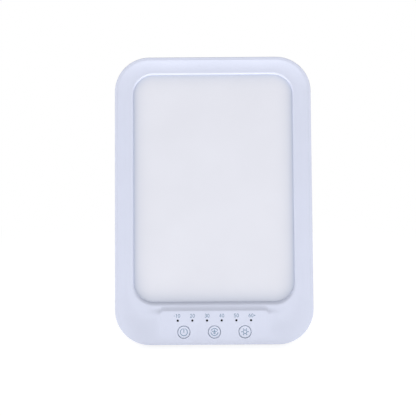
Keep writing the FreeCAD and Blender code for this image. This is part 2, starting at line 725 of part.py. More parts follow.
def make_light_strips():
    middle = "places.guide_front + dims.guide_thickness / 2"
    first = "(places.guide_low + places.guide_high) / 2 - (dims.led_count - 1) / 2 * dims.led_pitch"
    for name, side in SIDES.items():
        strip = Piece(f"{name}_led_strip")
        near, far = mirrored(side, "places.strip_near", "places.strip_far")
        board = rectangle(near, far, "places.guide_low", "places.guide_high")
        strip_front = "places.strip_middle - dims.strip_width / 2"
        strip.pad(strip.front_outline(strip_front, board), "dims.strip_width")

        leds = Piece(f"{name}_strip_leds")
        near, far = mirrored(side, "places.led_near", "places.strip_near")
        led = rectangle(near, far, f"{first} - dims.led_length / 2", f"{first} + dims.led_length / 2")
        leds.pad(leds.front_outline(f"{middle} - dims.led_width / 2", led), "dims.led_width")
        leds.repeat("dims.led_count", "dims.led_pitch", "Z_Axis")


# The bend takes as much of the lead's shorter run as a soft wire would.
LEAD_TURN = "0.45 * (places.guide_low - places.lead_height)"


def make_strip_leads():
    """A sheathed pair from each strip's lower end to the edge of the control board."""
    for name, side in SIDES.items():
        lead = Piece(f"{name}_strip_lead")
        down, across = f"{side} * places.lead_side", f"{side} * places.board_half"
        route = lead.sketch("XZ_Plane", "places.strip_middle", draw_route,
                            (down, "places.guide_low", across, "places.lead_height", LEAD_TURN))
        ring = lead.sketch("XY_Plane", "places.guide_low",
                           circles=[(down, "places.strip_middle", "dims.lead_radius")])
        lead.feature("PartDesign::AdditivePipe", {"Profile": ring, "Spine": (route, [])})


# --- Control board -----------------------------------------------------------------------------

def make_control_board():
    board = Piece("control_board")
    outline = rectangle("-places.board_half", "places.board_half", "places.board_low", "places.board_high",
                        "dims.board_corner")
    board.pad(board.front_outline("places.board_front", outline), "dims.board_thickness")
    holes = rings(BOARD_SCREWS, "dims.small_screw_radius + dims.hole_gap")
    board.drill("places.board_front", "dims.board_thickness", holes)

    switches = Piece("tact_switches")
    for key in KEYS:
        across, up = key_centre(key)
        case = rectangle(*about(across, "dims.switch_side / 2"), *about(up, "dims.switch_side / 2"))
        switches.pad(switches.front_outline("places.switch_front", case), "dims.switch_depth")
    wells = [(*key_centre(key), "dims.plunger_radius + dims.plunger_gap") for key in KEYS]
    switches.pocket(switches.front_circles(f"places.switch_front - {PAST}", wells),
                    f"dims.switch_depth - dims.key_travel + {PAST}")

    chip = Piece("control_chip")
    square = rectangle(*about("0", "dims.chip_side / 2"), *about("places.lamp_height", "dims.chip_side / 2"))
    chip.pad(chip.front_outline("places.board_back", square), "dims.chip_depth")

    inductor = Piece("driver_inductor")
    square = rectangle(*about("-places.socket_side", "dims.inductor_side / 2"),
                       *about("places.lamp_height", "dims.inductor_side / 2"), "dims.inductor_round")
    inductor.pad(inductor.front_outline("places.board_back", square), "dims.inductor_depth")

    cans = Piece("filter_capacitors")
    side = "(places.island_half + dims.capacitor_radius + dims.part_gap)"
    low = "places.board_low + dims.capacitor_low_gap + dims.capacitor_radius"
    high = "places.board_high - dims.capacitor_high_gap - dims.capacitor_radius"
    centres = [(f"-{side}", low, "dims.capacitor_radius"), (side, high, "dims.capacitor_radius")]
    cans.pad(cans.front_circles("places.board_back", centres), "dims.capacitor_depth")


def make_power_socket():
    """A flat power inlet: a drawn metal shell round a flat contact tongue."""
    half_wide = "dims.socket_width / 2"
    half_high = "dims.socket_height / 2"
    shell = Piece("power_socket_shell")
    outer = rectangle(*about("places.socket_side", half_wide), *about("places.socket_level", half_high),
                      f"{half_high} - {FLAT}")
    shell.pad(shell.front_outline("places.board_back", outer), "dims.socket_length")
    inner = rectangle(*about("places.socket_side", f"({half_wide} - dims.socket_skin)"),
                      *about("places.socket_level", f"({half_high} - dims.socket_skin)"),
                      f"{half_high} - dims.socket_skin - {FLAT}")
    shell.pocket(shell.front_outline("places.board_back + dims.socket_back", inner), "dims.socket_length")

    tongue = Piece("power_socket_tongue")
    blade = rectangle(*about("places.socket_side", "dims.tongue_width / 2"),
                      *about("places.socket_level", "dims.tongue_thickness / 2"))
    tongue.pad(tongue.front_outline("places.board_back + dims.socket_back", blade),
               "dims.socket_length - dims.socket_back - dims.tongue_inset")


def make_timer_lamps():
    leds = Piece("indicator_leds")
    front = "places.board_front - dims.lamp_chip_depth"
    for across, up in lamp_centres():
        chip = rectangle(*about(across, "dims.lamp_chip / 2"), *about(up, "dims.lamp_chip / 2"))
        leds.pad(leds.front_outline(front, chip), "dims.lamp_chip_depth")

    pipe = Piece("indicator_light_pipe")
    ends = "(-places.lamp_first + dims.pipe_bar_end)"
    bar = rectangle(f"-{ends}", ends, *about("places.lamp_height", "dims.pipe_bar_height / 2"),
                    "dims.pipe_bar_corner")
    pipe.pad(pipe.front_outline("dims.bezel_thickness", bar), "dims.pipe_bar_thickness")
    pins = rings(lamp_centres(), "dims.lamp_radius")
    pipe.pad(pipe.front_circles("dims.lamp_inset", pins), f"dims.bezel_thickness - dims.lamp_inset + {TIE}")


# --- Fasteners ---------------------------------------------------------------------------------

def cut_crosses(screws, centres, head_radius, front, depth):
    """Cut a cross recess into each screw head."""
    reach = f"{head_radius} * {CROSS}"
    for across, up in centres:
        for wide, high in ((reach, "dims.cross_slot / 2"), ("dims.cross_slot / 2", reach)):
            slot = rectangle(*about(across, wide), *about(up, high))
            screws.pocket(screws.front_outline(front, slot), depth)


def make_screws(label, centres, head_front, radius, bite, head_radius, head_height):
    """Screws that point to the front: shanks, and heads behind them."""
    screws = Piece(label)
    screws.pad(screws.front_circles(f"{head_front} - {bite}", rings(centres, radius)), bite)
    screws.pad(screws.front_circles(head_front, rings(centres, head_radius)), head_height)
    cut_crosses(screws, centres, head_radius, f"{head_front} + {head_height} / 2", head_height)


def make_fasteners():
    small = ("dims.small_head_radius", "dims.small_head_height")
    make_screws("housing_screws", HOUSING_SCREWS, "places.seat_back", "dims.screw_radius",
                "(places.seat_back - places.boss_back + dims.screw_bite)",
                "dims.head_radius", "dims.head_height")
    make_screws("board_screws", BOARD_SCREWS, "places.board_back", "dims.small_screw_radius",
                "(dims.board_thickness + dims.small_bite)", *small)
    make_screws("plate_screws", PLATE_SCREWS, "places.plate_back", "dims.small_screw_radius",
                "(dims.plate_thickness + dims.small_bite)", *small)
    # These four point backwards, through the recess floor into the hinge brackets.
    screws = Piece("bracket_screws")
    head_front = "places.recess_back - dims.small_head_height"
    screws.pad(screws.front_circles(head_front, rings(BRACKET_SCREWS, "dims.small_head_radius")),
               "dims.small_head_height")
    screws.pad(screws.front_circles("places.recess_back", rings(BRACKET_SCREWS, "dims.small_screw_radius")),
               "dims.recess_floor + dims.small_bite")
    cut_crosses(screws, BRACKET_SCREWS, "dims.small_head_radius", f"{head_front} - {PAST}",
                f"dims.small_head_height / 2 + {PAST}")


# --- Keys --------------------------------------------------------------------------------------

def make_keys():
    for key in KEYS:
        across, up = key_centre(key)
        button = Piece(f"{key}_button")
        button.pad(button.front_circles("0", [(across, up, "dims.key_radius")]), "places.lip_front")
        button.soften("dims.key_round", at_depth("0"))
        lip = "dims.key_radius + dims.key_gap + dims.key_lip"
        button.pad(button.front_circles("places.lip_front", [(across, up, lip)]), "dims.key_lip_thickness")
        button.pad(button.front_circles("places.lip_back", [(across, up, "dims.stem_radius")]),
                   "dims.stem_length")

        plunger = Piece(f"{key}_plunger")
        plunger.pad(plunger.front_circles("places.stem_back", [(across, up, "dims.plunger_radius")]),
                    "dims.plunger_length")


# --- Kickstand ---------------------------------------------------------------------------------

def make_hinge():
    axle = ("places.hinge_depth", "dims.hinge_height")
    floor, rear = "places.recess_depth", "places.hinge_depth + dims.leg_thickness / 2"
    for name, side in SIDES.items():
        bracket = Piece(f"{name}_hinge_bracket")
        near, far = mirrored(side, "places.bracket_near", "places.bracket_near + dims.bracket_width")
        block = rectangle(near, far, *about("dims.hinge_height", "dims.bracket_half_height"))
        bracket.pad(bracket.front_outline(floor, block), f"{rear} - {floor}")
        bracket.soften("dims.bracket_round", lambda edge: at_depth(rear)(edge)
                       and abs(samples(edge)[0].z - samples(edge)[-1].z) < LEVEL)
        bore = bracket.side_circles(f"{near} - {PAST}", [(*axle, "dims.pin_radius + dims.pin_seat_fit")])
        bracket.pocket(bore, f"dims.bracket_width + {2 * PAST}")
        mine = [centre for centre in BRACKET_SCREWS if centre[0].startswith(f"{side} ")]
        bracket.pocket(bracket.front_circles(f"{floor} - {PAST}",
                                             rings(mine, "dims.small_screw_radius + dims.thread_gap")),
                       f"dims.small_bite + {PAST + RUN_OUT}")

    pin = Piece("hinge_pin")
    half = "(places.recess_half - dims.pin_end_gap)"
    pin.pad(pin.side_circles(f"-{half}", [(*axle, "dims.pin_radius")]), f"2 * {half}")
    pin.soften("dims.pin_chamfer", lambda edge: True, "Chamfer")


def leg_end(depth, back_off):
    """Return the height in the leg's own frame of a face level with the table, at one depth."""
    rise = "(dims.hinge_height - places.rest_height) * cos(dims.lean)"
    run = "(places.hinge_depth - places.rest_depth) * sin(dims.lean)"
    return f"-({rise} - {run} - {back_off} + ({depth}) * sin(places.splay)) / cos(places.splay)"


def make_leg():
    """The leg is drawn closed, in a frame at its hinge axis, and placed at its open angle."""
    half = "dims.leg_width / 2"
    front, rear = "-dims.leg_thickness / 2", "dims.leg_thickness / 2"
    pad = "dims.stand_pad_thickness"
    # The heel's front face lies flat on the recess floor when the leg is open.
    meet = "-(places.hinge_depth - places.recess_depth - dims.heel_gap)"
    heel_low = f"(({front}) * cos(dims.open_angle) - ({meet})) / sin(dims.open_angle)"
    heel_front = f"(({meet}) + dims.heel_height * sin(dims.open_angle)) / cos(dims.open_angle)"
    section = [(front, leg_end(front, pad)), (rear, leg_end(rear, pad)), (rear, "dims.heel_height"),
               (heel_front, "dims.heel_height"), (front, heel_low)]
    leg = Piece("stand_leg", LEG_PLACE)
    leg.pad(leg.side_polygon(f"-{half}", section), "dims.leg_width")
    for side in SIDES.values():
        near, far = mirrored(side, "places.barrel_half", f"{half} + {PAST}")
        notch = rectangle(near, far, "-dims.shoulder_drop", f"dims.heel_height + {PAST}")
        leg.cut_out(front, "dims.leg_thickness", notch)
    bore = leg.side_circles(f"-{half} - {PAST}", [("0", "0", "dims.pin_radius + dims.pin_fit")])
    leg.pocket(bore, f"dims.leg_width + {2 * PAST}")
    # Two panels are cored out of the inner face, with a rib between them.
    end = leg_end(rear, pad)
    middle = f"(({end}) - dims.shoulder_drop) / 2"
    for low, high in ((f"({end}) + dims.leg_foot_frame", f"{middle} - dims.leg_rib / 2"),
                      (f"{middle} + dims.leg_rib / 2", "-dims.shoulder_drop - dims.leg_frame")):
        core = rectangle(f"-({half} - dims.leg_frame)", f"{half} - dims.leg_frame", low, high,
                         "dims.leg_core_corner")
        leg.pocket(leg.front_outline(f"{front} - {PAST}", core),
                   f"dims.leg_thickness - dims.leg_skin + {PAST}")
    leg.soften("dims.leg_round", lambda edge: at_depth(rear)(edge)
               and abs(samples(edge)[0].x - samples(edge)[-1].x) < LEVEL)

    shoe = Piece("stand_foot_pad", LEG_PLACE)
    ends = [(front, leg_end(front, "0")), (rear, leg_end(rear, "0")),
            (rear, leg_end(rear, pad)), (front, leg_end(front, pad))]
    shoe.pad(shoe.side_polygon(f"-{half}", ends), "dims.leg_width")
    low = number(leg_end("0", f"({pad}) / 2"))
    shoe.soften("dims.stand_pad_corner", lambda edge: all(p.z < low for p in samples(edge))
                and abs(samples(edge)[0].x - samples(edge)[-1].x) < LEVEL)

    for name, side in SIDES.items():
        washer = Piece(f"{name}_friction_washer", LEG_PLACE)
        near, _ = mirrored(side, "places.barrel_half + dims.washer_gap",
                           "places.barrel_half + dims.washer_gap + dims.washer_thickness")
        washer.pad(washer.side_circles(near, [("0", "0", "dims.washer_radius")]), "dims.washer_thickness")
        washer.pocket(washer.side_circles(f"{near} - {PAST}", [("0", "0", "dims.pin_radius + dims.pin_fit")]),
                      f"dims.washer_thickness + {2 * PAST}")


# --- Export ------------------------------------------------------------------------------------

def check_and_export():
    """Refuse a failed object or a bad shape, then write one STEP file per sub-part."""
    doc.recompute()
    for item in doc.Objects:
        if "Invalid" in item.State or "Error" in item.State:
            raise RuntimeError(f"{item.Name} failed")
    os.makedirs("parts", exist_ok=True)
    for piece in Piece.made:
        shape = piece.body.Shape
        if shape.isNull() or not shape.isValid() or not shape.Solids:
            raise RuntimeError(f"{piece.body.Label} has no valid solid")
        shape.exportStep(f"parts/{piece.body.Label}.step")
        print(f"{piece.body.Label}: {len(shape.Solids)} solid(s), {shape.Volume:.1f} mm3")


make_front_bezel()
make_rear_shell()
make_base_feet()
make_light_stack()
make_backing_plate()
make_light_strips()
make_strip_leads()
make_control_board()
make_power_socket()
make_timer_lamps()
make_fasteners()
make_keys()
make_hinge()
make_leg()
check_and_export()
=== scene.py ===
import json
import logging
import math
from dataclasses import dataclass, field, replace
from enum import Enum
from typing import Callable, Optional

import bmesh
import bpy
import numpy as np
from mathutils import Matrix, Vector


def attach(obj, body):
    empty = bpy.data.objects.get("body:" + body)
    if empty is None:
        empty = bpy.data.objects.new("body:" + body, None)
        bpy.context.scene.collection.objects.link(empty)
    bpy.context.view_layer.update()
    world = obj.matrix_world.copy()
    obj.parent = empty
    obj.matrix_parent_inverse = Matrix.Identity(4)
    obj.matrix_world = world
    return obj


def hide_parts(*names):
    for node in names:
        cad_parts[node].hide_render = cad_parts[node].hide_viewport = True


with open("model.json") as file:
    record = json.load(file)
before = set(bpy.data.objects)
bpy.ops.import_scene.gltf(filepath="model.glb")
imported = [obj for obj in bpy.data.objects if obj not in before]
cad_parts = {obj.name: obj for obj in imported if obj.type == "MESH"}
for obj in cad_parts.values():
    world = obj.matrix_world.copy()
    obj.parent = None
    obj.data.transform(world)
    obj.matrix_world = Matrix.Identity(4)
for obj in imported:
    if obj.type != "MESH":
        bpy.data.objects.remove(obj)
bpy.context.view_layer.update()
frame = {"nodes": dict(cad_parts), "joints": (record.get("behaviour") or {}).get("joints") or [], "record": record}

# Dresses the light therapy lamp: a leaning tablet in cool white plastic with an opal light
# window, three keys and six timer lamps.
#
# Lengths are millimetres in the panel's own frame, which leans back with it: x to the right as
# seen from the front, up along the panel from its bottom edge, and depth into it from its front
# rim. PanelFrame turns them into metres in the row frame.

log = logging.getLogger("light_therapy_lamp")

MM = 0.001  # one millimetre in metres
MERGE = 1e-7  # how near two places are that count as one, in metres
SHARP = math.radians(35)  # the bend from which an edge between two faces is sharp
NOISE_SPAN = (0.3, 0.7)  # where most of a noise's values lie
LAMP_COUNT = 6
LINE_POINTS = 6
ARC_STEP = 6  # degrees between the points of an arc
ARC_POINTS_LEAST = 8
QUARTER_TURN = np.linspace(0, math.pi / 2, 6)  # the angles of the rows over a small round edge
Array = np.ndarray
Colour = tuple[float, float, float]
Depth = Callable[[Array, Array], Array]


def smoothstep(share: Array) -> Array:
    """Return the cubic that leaves 0 and reaches 1 level, for shares from 0 to 1."""
    return share * share * (3 - 2 * share)


# --- The panel's frame and its outlines ------------------------------------------------------


@dataclass(frozen=True)
class Extent:
    """How far a piece reaches in the panel's frame, in millimetres."""

    left: float
    right: float
    low: float
    high: float
    front: float
    back: float

    @property
    def middle(self) -> tuple[float, float]:
        """The centre of the piece as seen from the front."""
        return (self.left + self.right) / 2, (self.low + self.high) / 2


@dataclass(frozen=True)
class PanelFrame:
    """The leaning panel's own origin and axes, in metres in the row frame."""

    origin: Array
    depth_axis: Array
    up_axis: Array

    @classmethod
    def from_model(cls, joint_name: str, shell: str) -> "PanelFrame":
        """Read the frame from a key's line of travel and the rear shell's extremes.

        Args:
            joint_name: the joint whose axis points into the panel.
            shell: the CAD node whose front and bottom are the panel's zero planes.

        Returns:
            The frame whose depth and up are zero at the shell's front and bottom.
        """
        joint = next(joint for joint in frame["joints"] if joint["name"] == joint_name)
        depth_axis = np.array(joint["axis"], float)
        depth_axis /= np.linalg.norm(depth_axis)
        up_axis = np.array([0.0, -depth_axis[2], depth_axis[1]])
        points = node_points(shell)
        origin = depth_axis * (points @ depth_axis).min() + up_axis * (points @ up_axis).min()
        return cls(origin, depth_axis, up_axis)

    def to_row(self, x: Array, up: Array, depth: Array) -> Array:
        """Return row points: the origin plus each coordinate times its own axis.

        Args:
            x, up, depth: places in millimetres, arrays of one shape or that broadcast to one.

        Returns:
            An array of that shape with a last axis of three coordinates in metres.
        """
        x, up, depth = np.broadcast_arrays(*(np.asarray(value, float) for value in (x, up, depth)))
        across = x[..., None] * np.array([1.0, 0.0, 0.0])
        return self.origin + MM * (across + up[..., None] * self.up_axis + depth[..., None] * self.depth_axis)

    def extent(self, node: str) -> Extent:
        """Measure a CAD node along this frame's axes.

        Args:
            node: the node's name.

        Returns:
            How far it reaches each way, in millimetres.
        """
        points = (node_points(node) - self.origin) / MM
        x, up, depth = points[:, 0], points @ self.up_axis, points @ self.depth_axis
        return Extent(x.min(), x.max(), up.min(), up.max(), depth.min(), depth.max())


def node_points(node: str) -> Array:
    """Read a CAD node's mesh.

    Args:
        node: the node's name.

    Returns:
        Its points, one row each, in metres in the row frame.
    """
    mesh = frame["nodes"][node].data
    points = np.zeros(3 * len(mesh.vertices))
    mesh.vertices.foreach_get("co", points)
    return points.reshape(-1, 3)


@dataclass(frozen=True)
class Tour:
    """Places round any rounded rectangle, counter-clockwise from the bottom left.

    Each place says which way along the two spans between corner centres it sits, and which way
    its outline faces there. A straight side moves the first and an arc turns the second.
    """

    across: Array
    upward: Array
    facing: Array

    @classmethod
    def with_samples(cls, bottom: int, side: int, top: int, corner: int) -> "Tour":
        """Make a tour of four sides and four corners, with even places on each stretch.

        Args:
            bottom, side, top, corner: how many places each kind of stretch has.

        Returns:
            The tour, whose last place lies just before its first.
        """
        # Each leg: its places, then from and to of across, upward and the quarter turns.
        legs = [(bottom, (-1, 1), (0, 0), (-1, -1)), (corner, (1, 1), (0, 0), (-1, 0)),
                (side, (1, 1), (0, 1), (0, 0)), (corner, (1, 1), (1, 1), (0, 1)),
                (top, (1, -1), (1, 1), (1, 1)), (corner, (-1, -1), (1, 1), (1, 2)),
                (side, (-1, -1), (1, 0), (2, 2)), (corner, (-1, -1), (0, 0), (2, 3))]
        across, upward, turns = (
            np.concatenate([np.linspace(*leg[which], leg[0], endpoint=False) for leg in legs])
            for which in (1, 2, 3))
        return cls(across, upward, turns * math.pi / 2)


@dataclass(frozen=True)
class RoundedRectangle:
    """An upright rounded rectangle centred on the panel, in millimetres."""

    half: float
    low: float
    high: float
    radius: float

    def grown(self, by: float) -> "RoundedRectangle":
        """Return the outline that lies outside this one by a distance all round."""
        return RoundedRectangle(self.half + by, self.low - by, self.high + by, self.radius + by)

    def towards(self, other: "RoundedRectangle", share: Array, tour: Tour) -> tuple[Array, Array]:
        """Trace outlines part of the way to another one.

        A place is its corner centre plus the radius times its facing. All four sizes change in
        proportion to the share, so every outline between the two is a rounded rectangle too.

        Args:
            other: the outline that a share of 1 reaches.
            share: shares from 0 to 1, a row of them for each row of places.
            tour: the places round the outline.

        Returns:
            The x and up of the places, one row for each share.
        """
        half, low, high, radius = (
            mine + (theirs - mine) * share
            for mine, theirs in ((self.half, other.half), (self.low, other.low),
                                 (self.high, other.high), (self.radius, other.radius)))
        x = (half - radius) * tour.across + radius * np.cos(tour.facing)
        up = low + radius + (high - low - 2 * radius) * tour.upward + radius * np.sin(tour.facing)
        return x, up

    def trace(self, tour: Tour) -> tuple[Array, Array]:
        """Return one row of places round this outline."""
        return self.towards(self, np.zeros((1, 1)), tour)

    def inward(self, x: Array, up: Array) -> Array:
        """Measure how far inside this outline each place lies.

        Beyond the corner centres it is the radius less the distance to the corner centre, and
        between them the distance to the nearer side.

        Args:
            x, up: the places.

        Returns:
            The distances, which are negative outside.
        """
        past_x = np.abs(x) - (self.half - self.radius)
        past_up = np.abs(up - (self.low + self.high) / 2) - ((self.high - self.low) / 2 - self.radius)
        round_corner = np.hypot(np.maximum(past_x, 0), np.maximum(past_up, 0))
        return self.radius - round_corner - np.minimum(np.maximum(past_x, past_up), 0)


# --- Meshes ----------------------------------------------------------------------------------


class Shells:
    """Collects grids of points into one mesh of closed shells."""

    def __init__(self, panel: PanelFrame) -> None:
        """Start with no shells.

        Args:
            panel: the frame that turns the places into metres.
        """
        self.panel = panel
        self.points: list[Array] = []
        self.quads: list[Array] = []
        self.count = 0

    def add(self, x: Array, up: Array, depth: Array, loop_rows: bool = False) -> None:
        """Add a grid whose columns always close on themselves.

        Each face joins a place to the next one along its row and to the same two in the next
        row. Rows that shrink to a point close the grid's ends.

        Args:
            x, up, depth: the grid's places in millimetres, rows by columns.
            loop_rows: whether the last row joins the first.
        """
        grid = self.panel.to_row(x, up, depth)
        rows, columns = grid.shape[:2]
        row = np.arange(rows if loop_rows else rows - 1)[:, None]
        column = np.arange(columns)[None, :]
        next_row, next_column = (row + 1) % rows, (column + 1) % columns
        corners = ((row, column), (row, next_column), (next_row, next_column), (next_row, column))
        quads = np.stack([place_row * columns + place_column for place_row, place_column in corners], axis=-1)
        self.points.append(grid.reshape(-1, 3))
        self.quads.append(quads.reshape(-1, 4) + self.count)
        self.count += rows * columns

    def revolve(self, profile: list[tuple[float, float]], centre: tuple[float, float],
                segments: int = 72) -> None:
        """Add a profile turned about a line into the panel.

        A place is the centre plus the profile's radius times the direction of its angle.

        Args:
            profile: (radius, depth) pairs from axis to axis.
            centre: x and up of the line.
            segments: how many places make a full turn.
        """
        angle = np.linspace(0, 2 * math.pi, segments, endpoint=False)[None, :]
        radius, depth = np.array(profile, float).T[:, :, None]
        self.add(centre[0] + radius * np.cos(angle), centre[1] + radius * np.sin(angle),
                 depth + np.zeros_like(angle))

    def slab(self, outline: RoundedRectangle, front: float, back: float, tour: Tour) -> None:
        """Add a flat slab: a middle point, the front rim, the back rim and a middle point.

        Args:
            outline: the slab's outline.
            front, back: the depths of its faces.
            tour: the places round it.
        """
        x, up = outline.trace(tour)
        middle = (outline.low + outline.high) / 2
        shrink = np.array([0.0, 1.0, 1.0, 0.0])[:, None]
        self.add(x * shrink, middle + (up - middle) * shrink,
                 np.array([front, front, back, back])[:, None] + np.zeros_like(x))

    def mesh(self, name: str) -> bpy.types.Object:
        """Make the shells one object, with its doubles merged and its faces outwards.

        Args:
            name: the object's and its mesh's name.

        Returns:
            The object, linked to the scene.
        """
        data = bpy.data.meshes.new(name)
        data.from_pydata(np.concatenate(self.points).tolist(), [], np.concatenate(self.quads).tolist())
        work = bmesh.new()
        work.from_mesh(data)
        bmesh.ops.remove_doubles(work, verts=work.verts, dist=MERGE)
        bmesh.ops.recalc_face_normals(work, faces=work.faces)
        work.to_mesh(data)
        work.free()
        data.shade_smooth()
        data.set_sharp_from_angle(angle=SHARP)
        piece = bpy.data.objects.new(name, data)
        bpy.context.scene.collection.objects.link(piece)
        return piece


def combine(piece: bpy.types.Object, tool: bpy.types.Object, operation: str) -> None:
    """Join a tool's solid to a piece or cut it away, for good, and remove the tool.

    Args:
        piece: the closed mesh that changes.
        tool: the closed mesh that is joined or cut away.
        operation: UNION or DIFFERENCE.
    """
    modifier = piece.modifiers.new(tool.name, "BOOLEAN")
    modifier.operation, modifier.solver, modifier.object = operation, "EXACT", tool
    graph = bpy.context.evaluated_depsgraph_get()
    data = bpy.data.meshes.new_from_object(piece.evaluated_get(graph))
    old = piece.data
    piece.modifiers.clear()
    piece.data = data
    for mesh, owner in ((old, None), (tool.data, tool)):
        if owner:
            bpy.data.objects.remove(owner)
        bpy.data.meshes.remove(mesh)
    data.name = piece.name
    data.set_sharp_from_angle(angle=SHARP)


# --- Finishes --------------------------------------------------------------------------------


class Grain(Enum):
    """The relief that a surface has."""

    SPARK_ERODED = "fine even pits of a textured mould"
    SATIN = "a barely uneven polished skin"
    ROLLED = "lines that run along the sheet"
    PRESSED = "coarse grains"
    CELLS = "open cells of a foam"


NOISE_DETAIL = {Grain.SPARK_ERODED: 4.0, Grain.SATIN: 1.0, Grain.ROLLED: 3.0}
ROLLED_STRETCH = (1.0, 1.0, 0.04)  # draws the noise out along z


class Nodes:
    """Adds nodes to one tree."""

    def __init__(self, tree: bpy.types.NodeTree) -> None:
        """Take the tree as it is."""
        self.tree = tree

    def add(self, kind: str, inputs: dict, **settings: object) -> bpy.types.ShaderNode:
        """Add a node, set its properties, and set or link its inputs.

        Args:
            kind: the node's type, without its ShaderNode prefix.
            inputs: a value or an output socket for each input, by name or place.
            settings: the node's own properties.

        Returns:
            The new node.
        """
        node = self.tree.nodes.new("ShaderNode" + kind)
        for name, value in settings.items():
            setattr(node, name, value)
        self.feed(node, inputs)
        return node

    def feed(self, node: bpy.types.ShaderNode, inputs: dict) -> None:
        """Set or link a node's inputs.

        Args:
            node: the node.
            inputs: a value or an output socket for each input, by name or place.
        """
        for name, value in inputs.items():
            if isinstance(value, bpy.types.NodeSocket):
                self.tree.links.new(value, node.inputs[name])
            else:
                node.inputs[name].default_value = value


class Shader(Nodes):
    """Adds nodes to one material of its own."""

    def __init__(self, name: str) -> None:
        """Make the material, with an output and a Principled shader alone.

        Args:
            name: the material's name.
        """
        self.material = bpy.data.materials.new(name)
        self.material.use_nodes = True
        super().__init__(self.material.node_tree)
        self.tree.nodes.clear()
        self.surface = self.add("BsdfPrincipled", {})
        self.add("OutputMaterial", {"Surface": self.surface.outputs[0]})

    def place(self, stretch: tuple[float, float, float] = (1.0, 1.0, 1.0)) -> bpy.types.NodeSocket:
        """Return the place on the object, in metres, stretched along each axis."""
        place = self.add("TexCoord", {}).outputs["Object"]
        return self.add("Mapping", {"Vector": place, "Scale": stretch}).outputs["Vector"]

    def noise(self, place: bpy.types.NodeSocket, size: float, detail: float = 2.0) -> bpy.types.NodeSocket:
        """Return a noise whose features are about size millimetres across."""
        node = self.add("TexNoise", {"Vector": place, "Scale": 1 / (size * MM), "Detail": detail})
        return node.outputs["Fac"]

    def between(self, share: bpy.types.NodeSocket, low: float, high: float) -> bpy.types.NodeSocket:
        """Return a noise's values spread from low to high."""
        node = self.add("MapRange", {"Value": share, "From Min": NOISE_SPAN[0], "From Max": NOISE_SPAN[1],
                                     "To Min": low, "To Max": high})
        return node.outputs["Result"]

    def blend(self, share: bpy.types.NodeSocket, first: Colour, last: Colour) -> bpy.types.NodeSocket:
        """Return a colour between two, by share."""
        node = self.add("Mix", {0: share, 6: (*first, 1.0), 7: (*last, 1.0)}, data_type="RGBA")
        return node.outputs[2]

    def relief(self, height: bpy.types.NodeSocket, depth: float) -> None:
        """Let a height from 0 to 1 shape the surface, depth millimetres from low to high."""
        bump = self.add("Bump", {"Height": height, "Strength": 1.0, "Distance": depth * MM})
        self.tree.links.new(bump.outputs["Normal"], self.surface.inputs["Normal"])


@dataclass(frozen=True)
class Finish:
    """How a material looks: its colour, how uneven that is, its gloss and its relief.

    The sizes of the grain and of the clouds of colour and gloss are in millimetres, and so is
    the grain's depth. The constants are values for the shader's other inputs.
    """

    name: str
    colour: Colour
    roughness: float
    grain: Grain = Grain.SATIN
    grain_size: float = 0.6
    grain_depth: float = 0.004
    unevenness: float = 0.015
    roughness_spread: float = 0.05
    metallic: float = 0.0
    constants: dict[str, object] = field(default_factory=dict)
    colour_cloud: float = 45.0
    gloss_cloud: float = 14.0

    def material(self) -> bpy.types.Material:
        """Make this finish's material at its first use.

        Returns:
            The material, the same one each time.
        """
        name = f"{self.name}_finish"
        found = bpy.data.materials.get(name)
        if found:
            return found
        shader = Shader(name)
        place = shader.place()
        shader.feed(shader.surface, {
            "Base Color": self.tint(shader, place),
            "Roughness": shader.between(shader.noise(place, self.gloss_cloud),
                                        self.roughness - self.roughness_spread,
                                        self.roughness + self.roughness_spread),
            "Metallic": self.metallic,
            **self.constants,
        })
        shader.relief(self.height(shader, place), self.grain_depth)
        return shader.material

    def tint(self, shader: Shader, place: bpy.types.NodeSocket) -> bpy.types.NodeSocket:
        """Return the colour, a little darker and lighter in broad clouds."""
        darker, lighter = (tuple(part * (1 + way * self.unevenness) for part in self.colour)
                           for way in (-1, 1))
        return shader.blend(shader.between(shader.noise(place, self.colour_cloud), 0.0, 1.0), darker, lighter)

    def height(self, shader: Shader, place: bpy.types.NodeSocket) -> bpy.types.NodeSocket:
        """Return the height of this grain's relief.

        Cells and coarse grains rise with the distance from the middle of a cell. The others
        are a noise, with its own detail for each grain, which a rolled sheet draws out along z.

        Args:
            shader: the material's nodes.
            place: the place on the object.

        Returns:
            The height, about 0 to 1.
        """
        if self.grain in (Grain.CELLS, Grain.PRESSED):
            cells = shader.add("TexVoronoi", {"Vector": place, "Scale": 1 / (self.grain_size * MM)})
            return cells.outputs["Distance"]
        if self.grain is Grain.ROLLED:
            place = shader.place(ROLLED_STRETCH)
        return shader.noise(place, self.grain_size, NOISE_DETAIL[self.grain])


